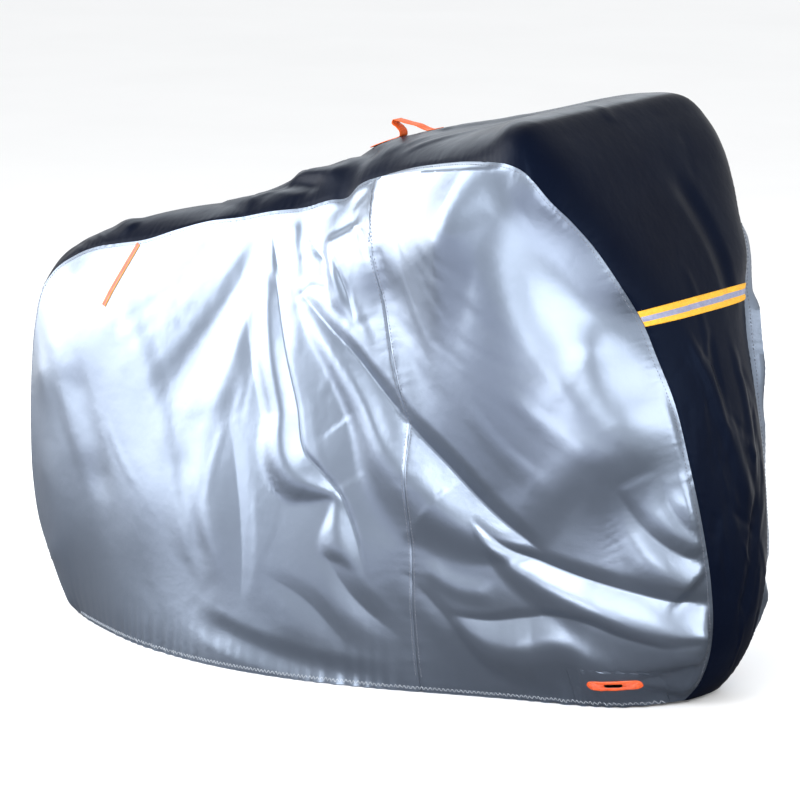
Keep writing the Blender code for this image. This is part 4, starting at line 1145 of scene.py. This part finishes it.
def webbing_loop():
    """The webbing loop that is sewn along the ridge and stands up over it."""
    ridge = grid[:, grid.shape[1] // 2]
    run = run_along(LOOP)
    line = smooth(LOOP, run, spaced(0.0, run[-1], LOOP_STEP))
    crown = ridge[(ridge[:, 0] > LOOP_SPAN[0]) & (ridge[:, 0] < LOOP_SPAN[1])]
    height = np.interp(line[:, 0], crown[:, 0], crown[:, 2]) + np.maximum(line[:, 1], 0.0)
    centres = np.stack((line[:, 0], 0 * height, height + 2 * GAP + LOOP_THICK / 2), axis=1)
    ahead = unit(np.gradient(centres, axis=0))
    normals = np.stack((-ahead[:, 2], 0 * height, ahead[:, 0]), axis=1)
    half, thick = LOOP_WIDTH / 2, LOOP_THICK / 2
    weave = [(half * across, thick * (0.86 + 0.14 * math.cos(number * math.pi)))
             for number, across in enumerate(np.linspace(-0.94, 0.94, 15))]
    section = [(-half, 0.0), *weave, (half, 0.0), *[(x, -z) for x, z in weave[::-1]]]
    rings = np.stack([centres + np.array((0.0, across, 0.0)) + normals * out
                      for across, out in section[::-1]], axis=1)
    return add("webbing_loop", tubes(rings[None]), ["orange_webbing"], "top_loop")


tape = front_tape()
rear_tapes = {name: rear_tape(name, side) for name, side in sides.items()}
eyelets = {name: eyelet(name, side) for name, side in sides.items()}
loop = webbing_loop()


# ------------------------------------------------------------------------------------ stitches
def stitches(threads, radius):
    """Short rounded threads, each from a start to an end, sunk in the cloth at both."""
    starts, ends, normals = (np.vstack(column) for column in zip(*threads))
    aside = unit(np.cross(normals, unit(ends - starts)))
    turn = np.linspace(0, 2 * math.pi, STITCH_SIDES, endpoint=False)[:, None, None]
    round_it = aside * np.cos(turn) + normals * np.sin(turn)
    rings = [starts + (ends - starts) * along + normals * radius * height
             + radius * width * round_it for along, width, height in STITCH_RINGS]
    return tubes(np.stack(rings).transpose(2, 0, 1, 3))


def seam_threads(side, line, pitch):
    """The starts, ends and normals of stitches along a flat line on a side."""
    run = run_along(line)
    starts = np.arange(pitch, run[-1] - pitch, pitch)
    (first, normal), (second, _) = (
        side.lift_with_normals(np.stack([np.interp(at, run, axis) for axis in line.T], axis=1))
        for at in (starts, starts + pitch * STITCH_SHARE))
    return first, second, normal


def hem_threads(side, phase, heights):
    """The starts, ends and normals of every second limb of the hem's zigzag."""
    hem = side.hem_flat[3:-3]
    run = run_along(hem)
    starts = np.arange(HEM_STITCH_ENDS[0], run[-1] - HEM_STITCH_ENDS[1], HEM_STITCH)
    x = [np.interp(starts + number * HEM_ZIGZAG, run, hem[:, 0]) for number in (phase, phase + 1)]
    (first, normal), (second, _) = (
        side.lift_with_normals(np.stack((at, np.full(len(at), height)), axis=1))
        for at, height in zip(x, heights))
    return first, second, normal


def sewn_side(name, side):
    """The stitches of one side: panel seam, band seam and hem."""
    grey = [seam_threads(side, offset_line(side.join_flat, offset)[4:-4], JOIN_STITCH)
            for offset in JOIN_ROWS]
    grey.append(seam_threads(side, offset_line(side.seam_flat, BAND_ROW)[6:-6], BAND_STITCH))
    white = [hem_threads(side, 0, HEM_STITCH_Z), hem_threads(side, 1, HEM_STITCH_Z[::-1])]
    return [add(f"{name}_{colour}_stitches", on_side(name, stitches(threads, radius)),
                [colour + "_thread"])
            for colour, threads, radius in (("grey", grey, GREY_THREAD),
                                            ("white", white, WHITE_THREAD))]


sewn = {name: sewn_side(name, side) for name, side in sides.items()}


def plane(name, x0, x1, y0, y1, z, material):
    """A level rectangle of the stage."""
    mesh = bpy.data.meshes.new(name)
    mesh.from_pydata([(x0, y0, z), (x1, y0, z), (x1, y1, z), (x0, y1, z)], [], [(0, 1, 2, 3)])
    mesh.materials.append(material)
    made = put(name, mesh)
    return made


FLOOR_HALF = 60.0
plane("floor", -FLOOR_HALF, FLOOR_HALF, -FLOOR_HALF, FLOOR_HALF, 0.0, finish["floor"])

WHITE, PALE_BLUE = (1.0, 1.0, 1.0), (0.82, 0.91, 1.0)
SOFT_BOXES = (
    # place, what it points at, width and height, brightness, colour
    ((-4.15, -1.75, 2.4), (-0.5, 0.0, 0.7), 3.0, 2.6, 7.5, WHITE),
    ((0.25, -4.4, 2.9), (0.1, 0.0, 0.7), 2.6, 2.0, 10.0, WHITE),
    ((0.9, -3.4, 0.5), (0.5, 0.0, 0.75), 1.2, 0.8, 5.0, WHITE),
    ((0.7, -1.75, 0.03), (0.7, -0.9, 1.1), 1.2, 0.7, 4.0, WHITE),
    ((2.9, -3.0, 1.7), (0.4, 0.0, 0.6), 2.6, 2.0, 6.0, WHITE),
    ((4.1, 0.2, 1.4), (0.5, 0.0, 0.8), 2.4, 1.6, 5.0, WHITE),
    ((-3.9, -1.75, 0.75), (-0.7, 0.0, 0.7), 2.4, 1.3, 4.5, WHITE),
    ((-4.2, -0.2, 1.1), (-0.7, 0.0, 0.6), 2.0, 1.8, 5.0, WHITE),
    ((-2.6, 3.0, 2.6), (0.0, 0.0, 0.9), 3.4, 1.8, 3.0, PALE_BLUE),
)
for number, (place, target, width, height, bright, colour) in enumerate(SOFT_BOXES):
    light = bpy.data.lights.new(f"soft_box_{number}", "AREA")
    light.shape = "RECTANGLE"
    light.size, light.size_y, light.color = width, height, colour
    light.energy = bright * math.pi * width * height
    lamp = put(light.name, light)
    lamp.location = place
    lamp.visible_camera = False
    lamp.rotation_euler = (Vector(target) - Vector(place)).to_track_quat("-Z", "Y").to_euler()

# Dark cards on the floor, out of sight, which only the cloth's reflections show.
DARK_CARDS = (
    # x from, to; y from, to; grey
    (-4.0, 2.6, -1.0, 1.2, 0.07),
    (-5.0, 2.6, -3.6, -1.0, 0.42),
    (0.9, 4.5, -0.4, 4.5, 0.02),
)
for number, (*corners, grey) in enumerate(DARK_CARDS):
    dark = paint(f"card_{number}", (grey, grey, grey * 1.1), (grey, grey, grey * 1.15), 2.0,
                 None, (), {"Roughness": 0.8})
    card = plane(f"card_{number}", *corners, 0.002 + 0.001 * number, dark)
    card.visible_camera = card.visible_diffuse = card.visible_shadow = False

world = bpy.data.worlds.new("studio")
world.use_nodes = True
world.node_tree.nodes["Background"].inputs["Color"].default_value = (0.98, 0.99, 1.0, 1.0)
world.node_tree.nodes["Background"].inputs["Strength"].default_value = 1.0
bpy.context.scene.world = world

# The camera stands where the photo was taken.
AZIMUTH, ELEVATION = math.radians(33.0), math.radians(10.4)
DISTANCE, TARGET = 10.5, Vector((SHIFT_X, 0.0, 0.508 + LIFT))
LENS, SENSOR = 241.2, 36.0
back = Vector((math.sin(AZIMUTH) * math.cos(ELEVATION), -math.cos(AZIMUTH) * math.cos(ELEVATION),
               math.sin(ELEVATION)))
camera = put("camera", bpy.data.cameras.new("camera"))
camera.data.lens, camera.data.sensor_width = LENS, SENSOR
camera.location = TARGET + back * DISTANCE
camera.rotation_euler = (-back).to_track_quat("-Z", "Y").to_euler()
bpy.context.scene.camera = camera
bpy.context.scene.view_settings.view_transform = "Standard"
